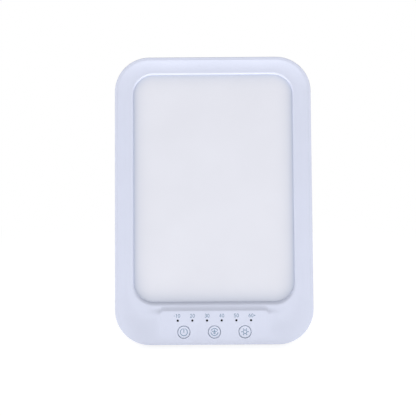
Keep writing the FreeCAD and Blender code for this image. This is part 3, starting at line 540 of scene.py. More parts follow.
@dataclass(frozen=True)
class OpalAcrylicPaintedShade(Finish):
    """Milky acrylic with painted shade: darker and bluer towards its edge, where the frame's shade falls.

    The painted shade's tint multiplies the colour at the very edge. The reaches are the distances in
    which the painted shade falls off, beside and above the window and at its low edge, and the rise
    is how far up the low edge's reach has changed into the other. All three are in millimetres.
    """

    # Painted shade at the window's edge: its tint and how far it reaches.
    painted_shade_tint: Colour = (0.64, 0.69, 0.77)
    painted_shade_reach: float = 3.6
    painted_shade_low_reach: float = 7.2
    painted_shade_low_rise: float = 40.0
    # The outline at which the painted shade is full.
    edge: Optional[RoundedRectangle] = None
    panel: Optional[PanelFrame] = None

    def tint(self, shader: Shader, place: bpy.types.NodeSocket) -> bpy.types.NodeSocket:
        """Return the colour with painted shade, darker by the distance from the edge.

        The painted shade falls off as an exponential of the distance over a reach, which grows towards
        the low edge. The distance is the one that RoundedRectangle.inward gives, in metres.

        Args:
            shader: the material's nodes.
            place: the place on the object.

        Returns:
            The colour.
        """
        upright = self.upright(shader)
        power = shader.add("Math", {0: self.inward(shader, upright), 1: self.falloff(shader, upright)},
                           operation="MULTIPLY")
        fade = shader.add("Math", {0: power.outputs[0]}, operation="EXPONENT", use_clamp=True)
        # The colour of the painted shade at the very edge, darker and bluer.
        painted_shade_colour = tuple(part * tint for part, tint in zip(self.colour, self.painted_shade_tint))
        shade = shader.add("Mix", {0: fade.outputs[0], 6: super().tint(shader, place), 7: (*painted_shade_colour, 1.0)},
                           data_type="RGBA")
        return shade.outputs[2]

    def upright(self, shader: Shader) -> bpy.types.NodeSocket:
        """Turn the place on the object upright.

        Args:
            shader: the material's nodes.

        Returns:
            The place in metres: x and up from the middle of the edge's outline.
        """
        centre = self.panel.to_row(0, (self.edge.high + self.edge.low) / 2, 0)
        lean = math.atan2(self.panel.up_axis[1], self.panel.up_axis[2])
        upright = shader.add("Mapping", {"Vector": shader.add("TexCoord", {}).outputs["Object"],
                                         "Location": tuple(centre), "Rotation": (math.pi / 2 - lean, 0, 0)},
                             vector_type="TEXTURE")
        return upright.outputs[0]

    def falloff(self, shader: Shader, upright: bpy.types.NodeSocket) -> bpy.types.NodeSocket:
        """Return less one over the reach, which changes in a smooth step up the rise.

        Args:
            shader: the material's nodes.
            upright: the upright place.

        Returns:
            The factor of the distance in the exponential, per metre.
        """
        low = (self.edge.low - self.edge.high) / 2
        rate = shader.add("MapRange", {"Value": shader.add("SeparateXYZ", {0: upright}).outputs[1],
                                       "From Min": low * MM, "From Max": (low + self.painted_shade_low_rise) * MM,
                                       "To Min": -1 / (self.painted_shade_low_reach * MM),
                                       "To Max": -1 / (self.painted_shade_reach * MM)},
                          interpolation_type="SMOOTHSTEP")
        return rate.outputs["Result"]

    def inward(self, shader: Shader, upright: bpy.types.NodeSocket) -> bpy.types.NodeSocket:
        """Return how far inside the edge a place lies, as RoundedRectangle.inward does.

        Args:
            shader: the material's nodes.
            upright: the upright place.

        Returns:
            The distance in metres.
        """
        radius = self.edge.radius * MM
        reach_wide = self.edge.half * MM - radius
        reach_high = (self.edge.high - self.edge.low) / 2 * MM - radius
        flat = shader.add("VectorMath", {0: upright, 1: (1, 1, 0)}, operation="MULTIPLY")
        away = shader.add("VectorMath", {0: flat.outputs[0]}, operation="ABSOLUTE")
        past = shader.add("VectorMath", {0: away.outputs[0], 1: (reach_wide, reach_high, 0)},
                          operation="SUBTRACT")
        beyond = shader.add("VectorMath", {0: past.outputs[0], 1: (0, 0, 0)}, operation="MAXIMUM")
        round_corner = shader.add("VectorMath", {0: beyond.outputs[0]}, operation="LENGTH")
        parts = shader.add("SeparateXYZ", {0: past.outputs[0]})
        nearer = shader.add("Math", {0: parts.outputs[0], 1: parts.outputs[1]}, operation="MAXIMUM")
        between = shader.add("Math", {0: nearer.outputs[0], 1: 0.0}, operation="MINIMUM")
        out = shader.add("Math", {0: round_corner.outputs["Value"], 1: between.outputs[0]}, operation="ADD")
        return shader.add("Math", {0: radius, 1: out.outputs[0]}, operation="SUBTRACT").outputs[0]


COOL_WHITE: Colour = (0.694, 0.728, 0.868)

FINISHES: dict[str, Finish] = {finish.name: finish for finish in (
    Finish("bezel_plastic", COOL_WHITE, 0.42, Grain.SPARK_ERODED, 0.35, 0.003),
    Finish("shell_plastic", COOL_WHITE, 0.46, Grain.SPARK_ERODED, 0.4, 0.006),
    Finish("key_plastic", COOL_WHITE, 0.36, Grain.SATIN, 0.8, 0.002),
    Finish("stand_plastic", COOL_WHITE, 0.5, Grain.SPARK_ERODED, 0.45, 0.008),
    Finish("opal_acrylic", (0.8, 0.808, 0.882), 0.4, Grain.SATIN, 1.2, 0.002),
    Finish("foam_tape", (0.12, 0.12, 0.13), 0.9, Grain.CELLS, 0.25, 0.03, 0.15),
    Finish("clear_acrylic", (0.92, 0.95, 0.96), 0.06, Grain.SATIN, 3.0, 0.001, 0.01, 0.02,
           constants={"Transmission Weight": 0.9, "IOR": 1.49}),
    Finish("white_film", (0.9, 0.9, 0.9), 0.5, Grain.SATIN, 0.5, 0.003),
    Finish("tray_aluminium", (0.78, 0.79, 0.8), 0.38, Grain.ROLLED, 0.5, 0.01, 0.04, 0.08, 1.0),
    Finish("white_laminate", (0.85, 0.85, 0.83), 0.45, Grain.SATIN, 0.5, 0.004),
    Finish("green_laminate", (0.03, 0.22, 0.1), 0.3, Grain.PRESSED, 1.6, 0.01, 0.12),
    Finish("led_package", (0.9, 0.8, 0.3), 0.35, Grain.SATIN, 0.3, 0.01, 0.05),
    Finish("lead_sheath", (0.8, 0.8, 0.8), 0.5, Grain.SATIN, 0.6, 0.01, 0.03),
    Finish("switch_plastic", (0.04, 0.04, 0.045), 0.45, Grain.SPARK_ERODED, 0.3, 0.01, 0.1),
    Finish("chip_resin", (0.03, 0.03, 0.035), 0.55, Grain.PRESSED, 0.2, 0.008, 0.12),
    Finish("ferrite", (0.12, 0.12, 0.13), 0.6, Grain.PRESSED, 0.3, 0.02, 0.15),
    Finish("can_aluminium", (0.75, 0.76, 0.78), 0.3, Grain.ROLLED, 0.3, 0.006, 0.04, 0.08, 1.0),
    Finish("socket_steel", (0.7, 0.71, 0.73), 0.28, Grain.ROLLED, 0.3, 0.006, 0.05, 0.08, 1.0),
    Finish("smoked_lens", (0.004, 0.004, 0.006), 0.3, Grain.SATIN, 1.0, 0.001, 0.1, 0.04,
           constants={"Specular IOR Level": 0.15}),
    Finish("screw_steel", (0.62, 0.63, 0.65), 0.34, Grain.ROLLED, 0.25, 0.008, 0.06, 0.08, 1.0),
    Finish("pin_steel", (0.66, 0.67, 0.69), 0.3, Grain.ROLLED, 0.2, 0.004, 0.04, 0.06, 1.0),
    Finish("bracket_nylon", (0.55, 0.56, 0.6), 0.5, Grain.SPARK_ERODED, 0.4, 0.01, 0.04),
    Finish("washer_nylon", (0.85, 0.85, 0.82), 0.45, Grain.SATIN, 0.5, 0.004, 0.02),
    Finish("foot_rubber", (0.82, 0.84, 0.9), 0.75, Grain.SPARK_ERODED, 0.5, 0.02, 0.06),
    Finish("grey_ink", (0.165, 0.265, 0.385), 0.55, Grain.SPARK_ERODED, 0.3, 0.003, 0.06),
)}


def dress(piece: bpy.types.Object, finish: Finish) -> None:
    """Give a piece one finish all over."""
    piece.data.materials.clear()
    piece.data.materials.append(finish.material())


# --- Front bezel -----------------------------------------------------------------------------


@dataclass
class FrontBezel:
    """The front half of the housing: a dished frame round the window, with a control platform.

    Lengths are in millimetres and the turn in degrees. The powers and curves, the reach with its
    start and fade, the dish's part and the crowding are plain numbers.
    """

    panel: PanelFrame
    key_centres: list[tuple[float, float]]
    lamp_centres: list[tuple[float, float]]
    # The outline, a snug distance outside the CAD node's, and its edge.
    outer_radius: float = 26.7
    snug: float = 0.08
    thickness: float = 3.0
    edge_round: float = 0.1
    # The window, its lip and the collar behind it, which meets the diffuser.
    window_radius: float = 17.0
    window_lap: float = 3.5
    window_round: float = 1.7
    window_round_low: float = 3.4
    low_turn: float = 35.0
    low_wall: float = 0.1
    window_inset: float = 0.4
    window_raise: float = 0.3
    collar_width: float = 1.2
    # The dish, at the top and at the bottom, and how soon it is down beside the window.
    dish_depth_high: float = 1.85
    dish_depth_low: float = 1.5
    dish_power_high: float = 0.6
    dish_power_low: float = 1.0
    dish_reach: float = 0.7
    reach_start: float = 0.93
    reach_fade: float = 0.13
    # The control platform, its crest and the slopes above and beside it.
    platform_half: float = 44.4
    platform_top: float = 28.1
    crest_bend: float = 5.0
    crest_drop: float = 2.2
    slope_above: float = 4.4
    slope_beside: float = 22.0
    curve_above: float = 1.7
    curve_beside: float = 4.0
    # The holes' radii and chamfers, and how far their tools go past the bezel.
    key_hole: float = 5.3
    key_chamfer: float = 0.15
    lamp_hole: float = 0.95
    lamp_chamfer: float = 0.05
    overshoot: float = 1.0
    # The rows of faces, and the part of the way to the window that the dish's rows cover.
    dish_part: float = 0.6
    dish_rows: int = 34
    flat_rows: int = 9
    slope_rows: int = 16
    slope_crowding: float = 1.2
    window_rows: int = 11

    def __post_init__(self) -> None:
        """Read the outlines from the bezel's and the diffuser's extents."""
        bezel, diffuser = self.panel.extent("front_bezel"), self.panel.extent("diffuser_panel")
        self.outer = RoundedRectangle(bezel.right, bezel.low, bezel.high, self.outer_radius).grown(self.snug)
        self.window = RoundedRectangle(diffuser.right - self.window_inset, diffuser.low,
                                       diffuser.high + self.window_raise,
                                       self.window_radius + self.window_lap).grown(-self.window_lap)
        self.lip = replace(self.window.grown(self.window_round), low=self.window.low - self.window_round_low,
                           high=self.window.high + self.window_round - self.window_raise)
        self.collar_back = diffuser.front

    def platform(self, x: Array, up: Array) -> Array:
        """Return how much of the dish is filled: 1 on the platform, falling to 0 beyond its crest.

        The crest is level and bends down in a quarter ellipse at its ends. The fill is the product
        of what is left of the slope above the crest and of the slope beside the platform, each
        raised to a power, so that it breaks off at the crest and fades out.

        Args:
            x, up: the places.

        Returns:
            The filled share of the dish.
        """
        past_side = np.abs(x) - self.platform_half
        bend = np.clip(past_side / self.crest_bend + 1, 0, 1)
        crest = self.platform_top - self.crest_drop * (1 - np.sqrt(1 - bend ** 2))
        above = np.clip(1 - (up - crest) / self.slope_above, 0, 1) ** self.curve_above
        beside = np.clip(1 - past_side / self.slope_beside, 0, 1) ** self.curve_beside
        return above * beside

    def front(self, x: Array, up: Array) -> Array:
        """Return the front face's depth.

        The dish falls from the rim to its full depth by a smooth step of the share of the way to
        the window's lip, raised to a power. It gets there at the lip along the top, and at a part
        of the way, the reach, beside the window. Its depth and its power change evenly with
        height: it is deepest at the top, where a low power also makes it steepest by the rim.

        Args:
            x, up: the places.

        Returns:
            The depths.
        """
        from_rim = self.outer.inward(x, up) - self.edge_round
        height = (up - self.outer.low) / (self.outer.high - self.outer.low)
        beside = smoothstep(np.clip((self.reach_start - height) / self.reach_fade, 0, 1))
        reach = 1 + (self.dish_reach - 1) * beside
        share = np.clip(from_rim / (from_rim - self.lip.inward(x, up)) / reach, 0, 1)
        power = self.dish_power_low + (self.dish_power_high - self.dish_power_low) * height
        full = self.dish_depth_low + (self.dish_depth_high - self.dish_depth_low) * height
        return full * smoothstep(share ** power) * (1 - self.platform(x, up))

    def front_shares(self, start: RoundedRectangle, end: RoundedRectangle) -> Array:
        """Place the front's rows, close together in the dish and past the platform's crest.

        Args:
            start: the outline of the first row, at the rim.
            end: the outline of the last row, at the window's lip.

        Returns:
            A column with the share of the way from start to end of each row.
        """
        crest = (self.platform_top - start.low) / (end.low - start.low)
        dish = np.linspace(0, self.dish_part, self.dish_rows, endpoint=False)
        flat = np.linspace(self.dish_part, crest, self.flat_rows, endpoint=False)
        slope = crest + (1 - crest) * np.linspace(0, 1, self.slope_rows) ** self.slope_crowding
        return np.concatenate([dish, flat, slope])[:, None]

    def window_edge(self, floor: Array, tour: Tour) -> tuple[Array, Array, Array]:
        """Return the rows that go from the lip over the window's rounded edge and into the panel.

        A place moves from the lip to the window with the sine of an angle and into the panel with
        one less its cosine, both as parts of what they come to at the last angle. That is a right
        angle, above an upright wall, and less along the low edge, where the curve goes on almost
        to the diffuser and meets it at a slant.

        Args:
            floor: the depth of the dish at the lip.
            tour: the places round the window.

        Returns:
            The x, up and depth of the places, one row for each angle.
        """
        above_low = self.window.trace(tour)[1] - self.window.low
        low = smoothstep(np.clip(1 - above_low / self.window.radius, 0, 1))
        last = math.pi / 2 + (math.radians(self.low_turn) - math.pi / 2) * low
        deep = self.window_round + (self.collar_back - self.low_wall - floor - self.window_round) * low
        turn = np.linspace(0, 1, self.window_rows + 1)[1:, None] * last
        x, up = self.window.towards(self.lip, 1 - np.sin(turn) / np.sin(last), tour)
        return x, up, floor + deep * (1 - np.cos(turn)) / (1 - np.cos(last))

    def body(self, tour: Tour) -> bpy.types.Object:
        """Make the frame without its holes, from rows that run round it and meet themselves.

        From the front face the rows go over the window's rounded edge, down its wall, round the
        collar and the back, up the outer wall and over the outer rounded edge.

        Args:
            tour: the places round each row.

        Returns:
            The frame, a closed mesh.
        """
        rim = self.outer.grown(-self.edge_round)
        x, up = rim.towards(self.lip, self.front_shares(rim, self.lip), tour)
        depth = self.front(x, up)
        floor = depth[-1]
        rows = [(x, up, depth), self.window_edge(floor, tour)]
        collar = self.window.grown(self.collar_width)
        for outline, level in ((self.window, self.collar_back), (collar, self.collar_back),
                               (collar, self.thickness), (self.outer, self.thickness)):
            rows.append((*outline.trace(tour), level + np.zeros_like(floor)))
        for turn in QUARTER_TURN[:-1]:
            outline = self.outer.grown(-self.edge_round * (1 - math.cos(turn)))
            level = self.edge_round * (1 - math.sin(turn))
            rows.append((*outline.trace(tour), level + np.zeros_like(floor)))
        shells = Shells(self.panel)
        shells.add(*(np.vstack([row[part] for row in rows]) for part in range(3)), loop_rows=True)
        return shells.mesh("bezel")

    def openings(self) -> bpy.types.Object:
        """Make the solids to cut away: a bore with a chamfer for each key and lamp.

        Returns:
            All of them in one mesh.
        """
        shells = Shells(self.panel)
        before, behind = self.overshoot, self.thickness + self.overshoot
        for centres, radius, chamfer in ((self.key_centres, self.key_hole, self.key_chamfer),
                                         (self.lamp_centres, self.lamp_hole, self.lamp_chamfer)):
            profile = [(0, -before), (radius + chamfer + before, -before), (radius, chamfer),
                       (radius, behind), (0, behind)]
            for centre in centres:
                shells.revolve(profile, centre)
        return shells.mesh("openings")

    def build(self) -> bpy.types.Object:
        """Build, cut and dress the bezel.

        Returns:
            The bezel, riding on the housing.
        """
        piece = self.body(Tour.with_samples(bottom=200, side=64, top=48, corner=44))
        combine(piece, self.openings(), "DIFFERENCE")
        dress(piece, FINISHES["bezel_plastic"])
        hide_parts("front_bezel")
        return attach(piece, "housing")


# --- Prints ----------------------------------------------------------------------------------


def line(start: tuple[float, float], end: tuple[float, float]) -> Array:
    """Return a straight stroke."""
    return np.linspace(start, end, LINE_POINTS)


def arc(centre: tuple[float, float], radii: tuple[float, float], start: float, end: float) -> Array:
    """Return a stroke round an ellipse.

    A place is the centre plus each radius times the cosine or the sine of its angle.

    Args:
        centre: x and up of the ellipse's centre.
        radii: its radii along x and up.
        start, end: the first and the last angle in degrees.

    Returns:
        x and up of its places, one row each.
    """
    places = max(ARC_POINTS_LEAST, int(abs(end - start) / ARC_STEP))
    angle = np.radians(np.linspace(start, end, places))
    return np.stack([centre[0] + radii[0] * np.cos(angle), centre[1] + radii[1] * np.sin(angle)], axis=1)


@dataclass
class Print:
    """Ink on a face: flat strokes with round ends, a hair proud of what they are printed on.

    The proud height and the root below the face are in millimetres, and the flat is the part of
    a stroke's width that has the full height.
    """

    panel: PanelFrame
    width: float
    proud: float = 0.02
    root: float = 0.03
    flat: float = 0.85

    def stroke(self, shells: Shells, path: Array, ground: Depth) -> None:
        """Sweep the ink's flat section along a path.

        The rows follow the path. At its ends the width shrinks with the cosine of an angle while
        the row moves on with its sine, which makes a half circle. The section is a low crown.

        Args:
            shells: the mesh that takes the stroke.
            path: x and up of the places along it.
            ground: the depth of the printed face.
        """
        ahead = np.gradient(path, axis=0)
        ahead /= np.linalg.norm(ahead, axis=1, keepdims=True)
        turn = QUARTER_TURN[1:, None]
        reach, shrink = self.width / 2 * np.sin(turn), np.cos(turn)[:, 0]
        centre = np.vstack([(path[0] - ahead[0] * reach)[::-1], path, path[-1] + ahead[-1] * reach])
        along = np.vstack([np.repeat(ahead[:1], len(turn), 0), ahead, np.repeat(ahead[-1:], len(turn), 0)])
        half = self.width / 2 * np.concatenate([shrink[::-1], np.ones(len(path)), shrink])
        across = np.array([-1.0, -1.0, -self.flat, self.flat, 1.0, 1.0])
        out = np.array([-self.root, self.proud / 2, self.proud, self.proud, self.proud / 2, -self.root])
        x = centre[:, :1] - along[:, 1:] * half[:, None] * across
        up = centre[:, 1:] + along[:, :1] * half[:, None] * across
        shells.add(x, up, ground(x, up) - out)

    def piece(self, name: str, strokes: list[Array], ground: Depth, body: str, slot: str) -> bpy.types.Object:
        """Build one printed piece from its strokes, dress it and let it ride on a body.

        Args:
            name: the piece's name.
            strokes: x and up of the places along each stroke.
            ground: the depth of the printed face.
            body: the body that it rides on.
            slot: the material slot of what it is printed on; not used.

        Returns:
            The piece.
        """
        shells = Shells(self.panel)
        for path in strokes:
            self.stroke(shells, path, ground)
        piece = shells.mesh(name)
        dress(piece, FINISHES["grey_ink"])
        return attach(piece, body)


@dataclass
class TimerNumbers:
    """The minutes above the timer lamps, from 10 up in tens, in plain stroke figures.

    How far the figures' middle lies above a lamp, their height and the width of the strokes are
    in millimetres. The figure's width, the pitch of two figures and how far beside the lamp the
    dash and the plus lie are parts of the height.
    """

    panel: PanelFrame
    lamp_centres: list[tuple[float, float]]
    above_lamp: float = 3.95
    height: float = 2.7
    figure_width: float = 0.54
    pitch: float = 0.8
    stroke_width: float = 0.4
    dash_offset: float = 1.02
    plus_offset: float = 1.12

    def figure(self, sign: str) -> list[Array]:
        """Draw one figure in a cell that is one high, centred on x = 0 with its foot at 0.

        Args:
            sign: the figure, a dash or a plus.

        Returns:
            Its strokes.
        """
        half = self.figure_width / 2
        full = (half, 0.5)
        strokes = {
            "0": [arc((0, 0.5), full, 0, 360)],
            "1": [line((-0.12, 0.82), (0.06, 1.0)), line((0.06, 1.0), (0.06, 0.0))],
            "2": [arc((0, 0.73), (half, 0.27), 165, -35), line((half - 0.05, 0.57), (-half, 0.0)),
                  line((-half, 0.0), (half, 0.0))],
            "3": [arc((-0.02, 0.76), (half - 0.03, 0.24), 140, -90),
                  arc((-0.02, 0.26), (half, 0.26), 90, -140)],
            "4": [line((0.13, 0.0), (0.13, 1.0)), line((0.13, 1.0), (-half, 0.3)),
                  line((-half, 0.3), (half, 0.3))],
            "5": [line((half - 0.03, 1.0), (-half + 0.06, 1.0)),
                  line((-half + 0.06, 1.0), (-half + 0.03, 0.57)),
                  arc((-0.02, 0.32), (half, 0.32), 125, -140)],
            "6": [arc((0, 0.31), (half, 0.31), 0, 360), arc((half, 0.31), (2 * half, 0.69), 180, 108)],
            "-": [line((-0.12, 0.45), (0.12, 0.45))],
            "+": [line((-0.17, 0.5), (0.17, 0.5)), line((0, 0.33), (0, 0.67))],
        }
        return strokes[sign]

    def build(self) -> bpy.types.Object:
        """Print two figures above each lamp, a dash before the first and a plus after the last.

        Returns:
            The print, one piece on the housing.
        """
        strokes = []
        last = len(self.lamp_centres) - 1
        for index, (x, up) in enumerate(self.lamp_centres):
            tens, ones = str(10 * (index + 1))
            signs = [(tens, -self.pitch / 2), (ones, self.pitch / 2)]
            if index == 0:
                signs.append(("-", -self.dash_offset))
            if index == last:
                signs.append(("+", self.plus_offset))
            foot = up + self.above_lamp - self.height / 2
            for sign, across in signs:
                for path in self.figure(sign):
                    strokes.append(np.array([x + across * self.height, foot]) + path * self.height)
        ink = Print(self.panel, self.stroke_width)
        return ink.piece("timer_numbers", strokes, lambda x, up: np.zeros_like(x), "housing", "bezel_plastic")


# --- Keys and timer lamps --------------------------------------------------------------------


class KeySign(Enum):
    """What a key is for, and so the sign on it."""

    POWER = "power"
    TIMER = "timer"
    BRIGHTNESS = "brightness"

    def strokes(self) -> list[Array]:
        """Draw the sign: a broken ring with a bar, a dial with a hand and a dot, or a sun.

        Returns:
            Its strokes about the key's centre, in millimetres.
        """
        centre, ring = (0, 0), (2.9, 2.9)
        if self is KeySign.POWER:
            return [arc(centre, ring, 112, 428), line((0, ring[1]), (0, -0.3))]
        if self is KeySign.TIMER:
            return [arc(centre, ring, 152, 28), arc(centre, ring, -10, -170),
                    line((-1.9, 0.55), (1.7, 0.55)), line((0, 0.55), (0, 1.8)),
                    arc((0, -0.75), (0.62, 0.62), 0, 360)]
        disc, ray_start, ray_end = (1.5, 1.5), 2.2, 2.95
        turns = np.radians(np.arange(0, 360, 60))
        outward = np.stack([np.cos(turns), np.sin(turns)], axis=1)
        return [arc(centre, disc, 0, 360), *(line(ray_start * way, ray_end * way) for way in outward)]


@dataclass
class Key:
    """A round push key: a dished cap with a lip behind the bezel and a short stem."""

    panel: PanelFrame
    sign: KeySign
    radius: float = 5.0
    edge_round: float = 0.2
    dish: float = 0.12
    stem_radius: float = 2.0
    lip_thickness: float = 0.75
    stem_length: float = 1.1
    ink_width: float = 0.58
    ring_width: float = 0.2
    ring_inset: float = 0.2
    face_rows: int = 12
    segments: int = 96

    def __post_init__(self) -> None:
        """Read the key's centre, its lip and its back from its CAD node."""
        self.extent = self.panel.extent(f"{self.sign.value}_button")
        self.centre = self.extent.middle

    def cap(self, radius: Array) -> Array:
        """Return the cap's depth: a shallow paraboloid, deepest in the middle."""
        return self.dish * np.clip(1 - (radius / (self.radius - self.edge_round)) ** 2, 0, 1)

    def ground(self, x: Array, up: Array) -> Array:
        """Return the cap's depth at a place on the panel."""
        return self.cap(np.hypot(x - self.centre[0], up - self.centre[1]))

    def profile(self) -> list[tuple[float, float]]:
        """Trace the key from the middle of its face, over its edge and its lip, to its stem.

        Returns:
            The radius and the depth of each place.
        """
        flat = self.radius - self.edge_round
        face = [(radius, float(self.cap(radius))) for radius in np.linspace(0, flat, self.face_rows)]
        edge = [(self.radius - self.edge_round * (1 - math.sin(turn)), self.edge_round * (1 - math.cos(turn)))
                for turn in QUARTER_TURN[1:]]
        lip_radius = (self.extent.right - self.extent.left) / 2
        lip_back = self.extent.back - self.stem_length
        lip_front = lip_back - self.lip_thickness
        behind = [(self.radius, lip_front), (lip_radius, lip_front), (lip_radius, lip_back),
                  (self.stem_radius, lip_back), (self.stem_radius, self.extent.back), (0, self.extent.back)]
        return face + edge + behind

    def build(self) -> list[bpy.types.Object]:
        """Build the key, its printed ring and its sign, all on the key's own body.

        Returns:
            The three pieces.
        """
        name = self.sign.value
        shells = Shells(self.panel)
        shells.revolve(self.profile(), self.centre, self.segments)
        key = shells.mesh(f"{name}_key")
        dress(key, FINISHES["key_plastic"])
        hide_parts(f"{name}_button")
        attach(key, f"{name}_key")
        centre = np.array(self.centre)
        ring_radius = self.radius - self.ring_inset
        prints = (("ring", self.ring_width, [arc((0, 0), (ring_radius, ring_radius), 0, 360)]),
                  ("sign", self.ink_width, self.sign.strokes()))
        return [key, *(Print(self.panel, width).piece(f"{name}_{part}", [centre + path for path in paths],
                                                      self.ground, f"{name}_key", "key_plastic")
                       for part, width, paths in prints)]


@dataclass
class TimerLamps:
    """The light pipe behind the timer's openings: a bar with a domed pin for each lamp."""

    panel: PanelFrame
    lamp_centres: list[tuple[float, float]]
    pin_radius: float = 0.88
    dome: float = 0.1
    bar_thickness: float = 1.6
    bar_corner: float = 1.0
    tie: float = 0.2
    segments: int = 40

    def build(self) -> bpy.types.Object:
        """Build the bar and its pins as one piece.

        Returns:
            The piece, riding on the housing.
        """
        extent = self.panel.extent("indicator_light_pipe")
        bar_front = extent.back - self.bar_thickness
        shells = Shells(self.panel)
        outline = RoundedRectangle(extent.right, extent.low, extent.high, self.bar_corner)
        shells.slab(outline, bar_front, extent.back, Tour.with_samples(bottom=12, side=4, top=12, corner=8))
        bar = shells.mesh("timer_lamps")
        pins = Shells(self.panel)
        pin_back = bar_front + self.tie
        face = [(self.pin_radius * math.sin(turn), extent.front + self.dome * (1 - math.cos(turn)))
                for turn in QUARTER_TURN]
        for centre in self.lamp_centres:
            pins.revolve([*face, (self.pin_radius, pin_back), (0, pin_back)], centre, self.segments)
        combine(bar, pins.mesh("pins"), "UNION")
        dress(bar, FINISHES["smoked_lens"])
        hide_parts("indicator_light_pipe")
        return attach(bar, "housing")


# --- Everything else of the part -------------------------------------------------------------


@dataclass
class CarriedOver:
    """The CAD nodes that keep their own shape and get a finish for their material slot."""

    panel: PanelFrame
    window: RoundedRectangle
    # How far the outline of the acrylic's painted shade lies beyond the window, at its top and its bottom.
    painted_shade_offset_above: float = 0.5
    painted_shade_offset_below: float = 2.1

    def build(self) -> int:
        """Dress every CAD node by the slot that the record gives it.

        The acrylic's painted shade is full on the window's outline, moved out at the top and more at
        the bottom, so that the painted shade is weaker there.

        Returns:
            How many nodes there are.
        """
        opal = FINISHES["opal_acrylic"]
        # The outline at which the acrylic's painted shade is full.
        edge = replace(self.window, low=self.window.low - self.painted_shade_offset_below,
                       high=self.window.high + self.painted_shade_offset_above)
        acrylic = OpalAcrylicPaintedShade(opal.name, opal.colour, opal.roughness, opal.grain, opal.grain_size,
                              opal.grain_depth, edge=edge, panel=self.panel)
        finishes = {**FINISHES, opal.name: acrylic}
        subparts = frame["record"]["subparts"]
        for subpart in subparts:
            dress(frame["nodes"][subpart["node"]], finishes[subpart["material_slot"]])
        return len(subparts)


# --- Studio ----------------------------------------------------------------------------------


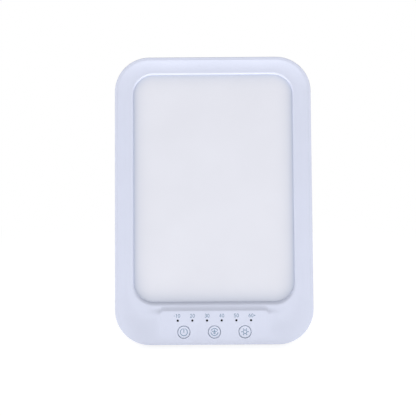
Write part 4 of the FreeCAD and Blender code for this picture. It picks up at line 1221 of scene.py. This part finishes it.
@dataclass
class Studio:
    """A pale floor, a white surround, soft light and the camera.

    The camera's distance, the floor's and the table light's lengths are in metres, the camera's
    aim, left of and below the middle of the panel, in millimetres, like its lens, and its
    elevation and roll in degrees. The lights' strengths are plain factors.
    """

    panel: PanelFrame
    # The camera.
    distance: float = 0.9
    elevation: float = 10.76
    roll: float = -0.39
    lens: float = 93.68
    aim_left: float = 4.59
    aim_below: float = 7.06
    # The light from all round.
    sky_front: float = 0.485
    sky_least: float = 0.375
    sky_sides: float = 0.22
    # The light on the table, from near to far in front of the lamp.
    table_glow: float = 1.422
    table_near: float = 0.0459
    table_far: float = 9.0
    table_half: float = 4.0
    # The floor: how it lights, how it looks near the lamp, and where that fades out.
    floor_light: float = 0.86
    floor_glow: float = 0.865
    floor_share: float = 0.4
    floor_half: float = 3.0
    floor_cells: int = 12
    floor_clear: float = 0.16
    floor_fade: float = 0.5
    floor_roughness: float = 0.9

    def white_to_eye(self, nodes: Nodes) -> bpy.types.NodeSocket:
        """Tell what the camera sees, straight, mirrored or through glass, from plain light.

        Args:
            nodes: the nodes that take the new ones.

        Returns:
            1 for what is seen and 0 for light.
        """
        path = nodes.add("LightPath", {})
        total = path.outputs["Is Camera Ray"]
        for name in ("Is Glossy Ray", "Is Transmission Ray"):
            total = nodes.add("Math", {0: total, 1: path.outputs[name]}, operation="ADD",
                              use_clamp=True).outputs[0]
        return total

    def surround(self) -> None:
        """Light from all round, most of it from the front and the sides, and look white.

        The light of a direction is its least value, plus one part in proportion to how far it
        faces the front and one to the square of how far it faces either side.
        """
        world = bpy.data.worlds.new("surround")
        world.use_nodes = True
        sky = Nodes(world.node_tree)
        parts = sky.add("SeparateXYZ", {0: sky.add("TexCoord", {}).outputs["Generated"]})
        front = sky.add("MapRange", {"Value": parts.outputs["Y"], "From Min": 0.0, "From Max": -1.0,
                                     "To Min": self.sky_least, "To Max": self.sky_front})
        aside = sky.add("Math", {0: parts.outputs["X"], 1: parts.outputs["X"]}, operation="MULTIPLY")
        glow = sky.add("Math", {0: aside.outputs[0], 1: self.sky_sides, 2: front.outputs["Result"]},
                       operation="MULTIPLY_ADD")
        spread = sky.add("MapRange", {"Value": self.white_to_eye(sky), "To Min": glow.outputs[0],
                                      "To Max": 1.0})
        sky.feed(sky.tree.nodes["Background"], {"Strength": spread.outputs["Result"],
                                                "Color": (1.0, 1.0, 1.0, 1.0)})
        bpy.context.scene.world = world

    def floor(self) -> None:
        """Lay a floor that looks white and keeps the lamp's shadow, and lights as a pale floor does.

        To the eye it is a white glow plus a part of its lit colour near the lamp, which holds
        the shadow. Away from the lamp that part fades out and the glow grows to full white.
        """
        steps = np.linspace(-self.floor_half, self.floor_half, self.floor_cells + 1)
        x, y = np.meshgrid(steps, steps)
        points = np.stack([x, y, np.zeros_like(x)], axis=-1).reshape(-1, 3)
        row, column = np.meshgrid(np.arange(self.floor_cells), np.arange(self.floor_cells), indexing="ij")
        first = (row * len(steps) + column).reshape(-1)
        quads = np.stack([first, first + 1, first + len(steps) + 1, first + len(steps)], axis=1)
        data = bpy.data.meshes.new("floor")
        data.from_pydata(points.tolist(), [], quads.tolist())
        floor = bpy.data.objects.new("floor", data)
        bpy.context.scene.collection.objects.link(floor)
        shader = Shader("floor")
        eye = self.white_to_eye(shader)
        away = shader.add("VectorMath", {0: shader.place()}, operation="LENGTH")
        far = shader.add("MapRange", {"Value": away.outputs["Value"], "From Min": self.floor_clear,
                                      "From Max": self.floor_fade}, interpolation_type="SMOOTHSTEP")
        share = far.outputs["Result"]
        glow = shader.add("MapRange", {"Value": share, "To Min": self.floor_glow, "To Max": 1.0})
        seen = shader.add("MapRange", {"Value": share, "To Min": self.floor_share, "To Max": 0.0})
        strength = shader.add("Math", {0: glow.outputs[0], 1: eye}, operation="MULTIPLY")
        lit = shader.add("MapRange", {"Value": eye, "To Min": self.floor_light, "To Max": seen.outputs[0]})
        colour = shader.add("CombineXYZ", {axis: lit.outputs[0] for axis in range(3)})
        shader.feed(shader.surface, {"Base Color": colour.outputs[0], "Roughness": self.floor_roughness,
                                     "Specular IOR Level": 0.0, "Emission Color": (1.0, 1.0, 1.0, 1.0),
                                     "Emission Strength": strength.outputs[0]})
        data.materials.append(shader.material)

    def light_table(self) -> None:
        """Lay a wide soft light on the floor in front of the lamp, facing up and unseen."""
        data = bpy.data.lights.new("light_table", "AREA")
        width, length = 2 * self.table_half, self.table_far - self.table_near
        data.shape, data.size, data.size_y = "RECTANGLE", width, length
        data.energy = math.pi * width * length * self.table_glow
        light = bpy.data.objects.new("light_table", data)
        light.location = (0, -(self.table_near + self.table_far) / 2, MM)
        light.rotation_euler = (math.pi, 0, 0)
        light.visible_camera = False
        bpy.context.scene.collection.objects.link(light)

    def middle(self) -> Array:
        """Return the middle of the panel's front in metres."""
        return self.panel.to_row(0, self.panel.extent("rear_shell").high / 2, 0)

    def camera(self) -> None:
        """Set up the camera: straight ahead of the lamp, a little above it and tilted a hair."""
        data = bpy.data.cameras.new("camera")
        data.lens = self.lens
        camera = bpy.data.objects.new("camera", data)
        bpy.context.scene.collection.objects.link(camera)
        tilt, roll = math.radians(self.elevation), math.radians(self.roll)
        turned = Matrix.Rotation(math.pi / 2 - tilt, 3, "X") @ Matrix.Rotation(roll, 3, "Z")
        offset = Vector((-self.aim_left * MM, -self.aim_below * MM, self.distance))
        camera.matrix_world = Matrix.Translation(Vector(self.middle()) + turned @ offset) @ turned.to_4x4()
        bpy.context.scene.camera = camera

    def build(self) -> None:
        """Set the stage."""
        bpy.context.scene.view_settings.view_transform = "Standard"
        self.surround()
        self.floor()
        self.light_table()
        self.camera()


def main() -> None:
    """Build the dressed lamp in order, from the studio to the last print."""
    logging.basicConfig(level=logging.INFO, format="%(name)s: %(message)s")
    panel = PanelFrame.from_model("power_key_press", "rear_shell")
    Studio(panel).build()
    keys = [Key(panel, sign) for sign in KeySign]
    leds = panel.extent("indicator_leds")
    led_half = (leds.high - leds.low) / 2
    across = np.linspace(leds.left + led_half, leds.right - led_half, LAMP_COUNT)
    lamp_centres = [(x, leds.middle[1]) for x in across]
    bezel = FrontBezel(panel, [key.centre for key in keys], lamp_centres)
    log.info("carried over: %d nodes", CarriedOver(panel, bezel.window).build())
    pieces = [bezel.build(), TimerLamps(panel, lamp_centres).build(),
              TimerNumbers(panel, lamp_centres).build()]
    for key in keys:
        pieces.extend(key.build())
    for piece in pieces:
        log.info("%s: %d faces", piece.name, len(piece.data.polygons))


if __name__ == "__main__":
    main()
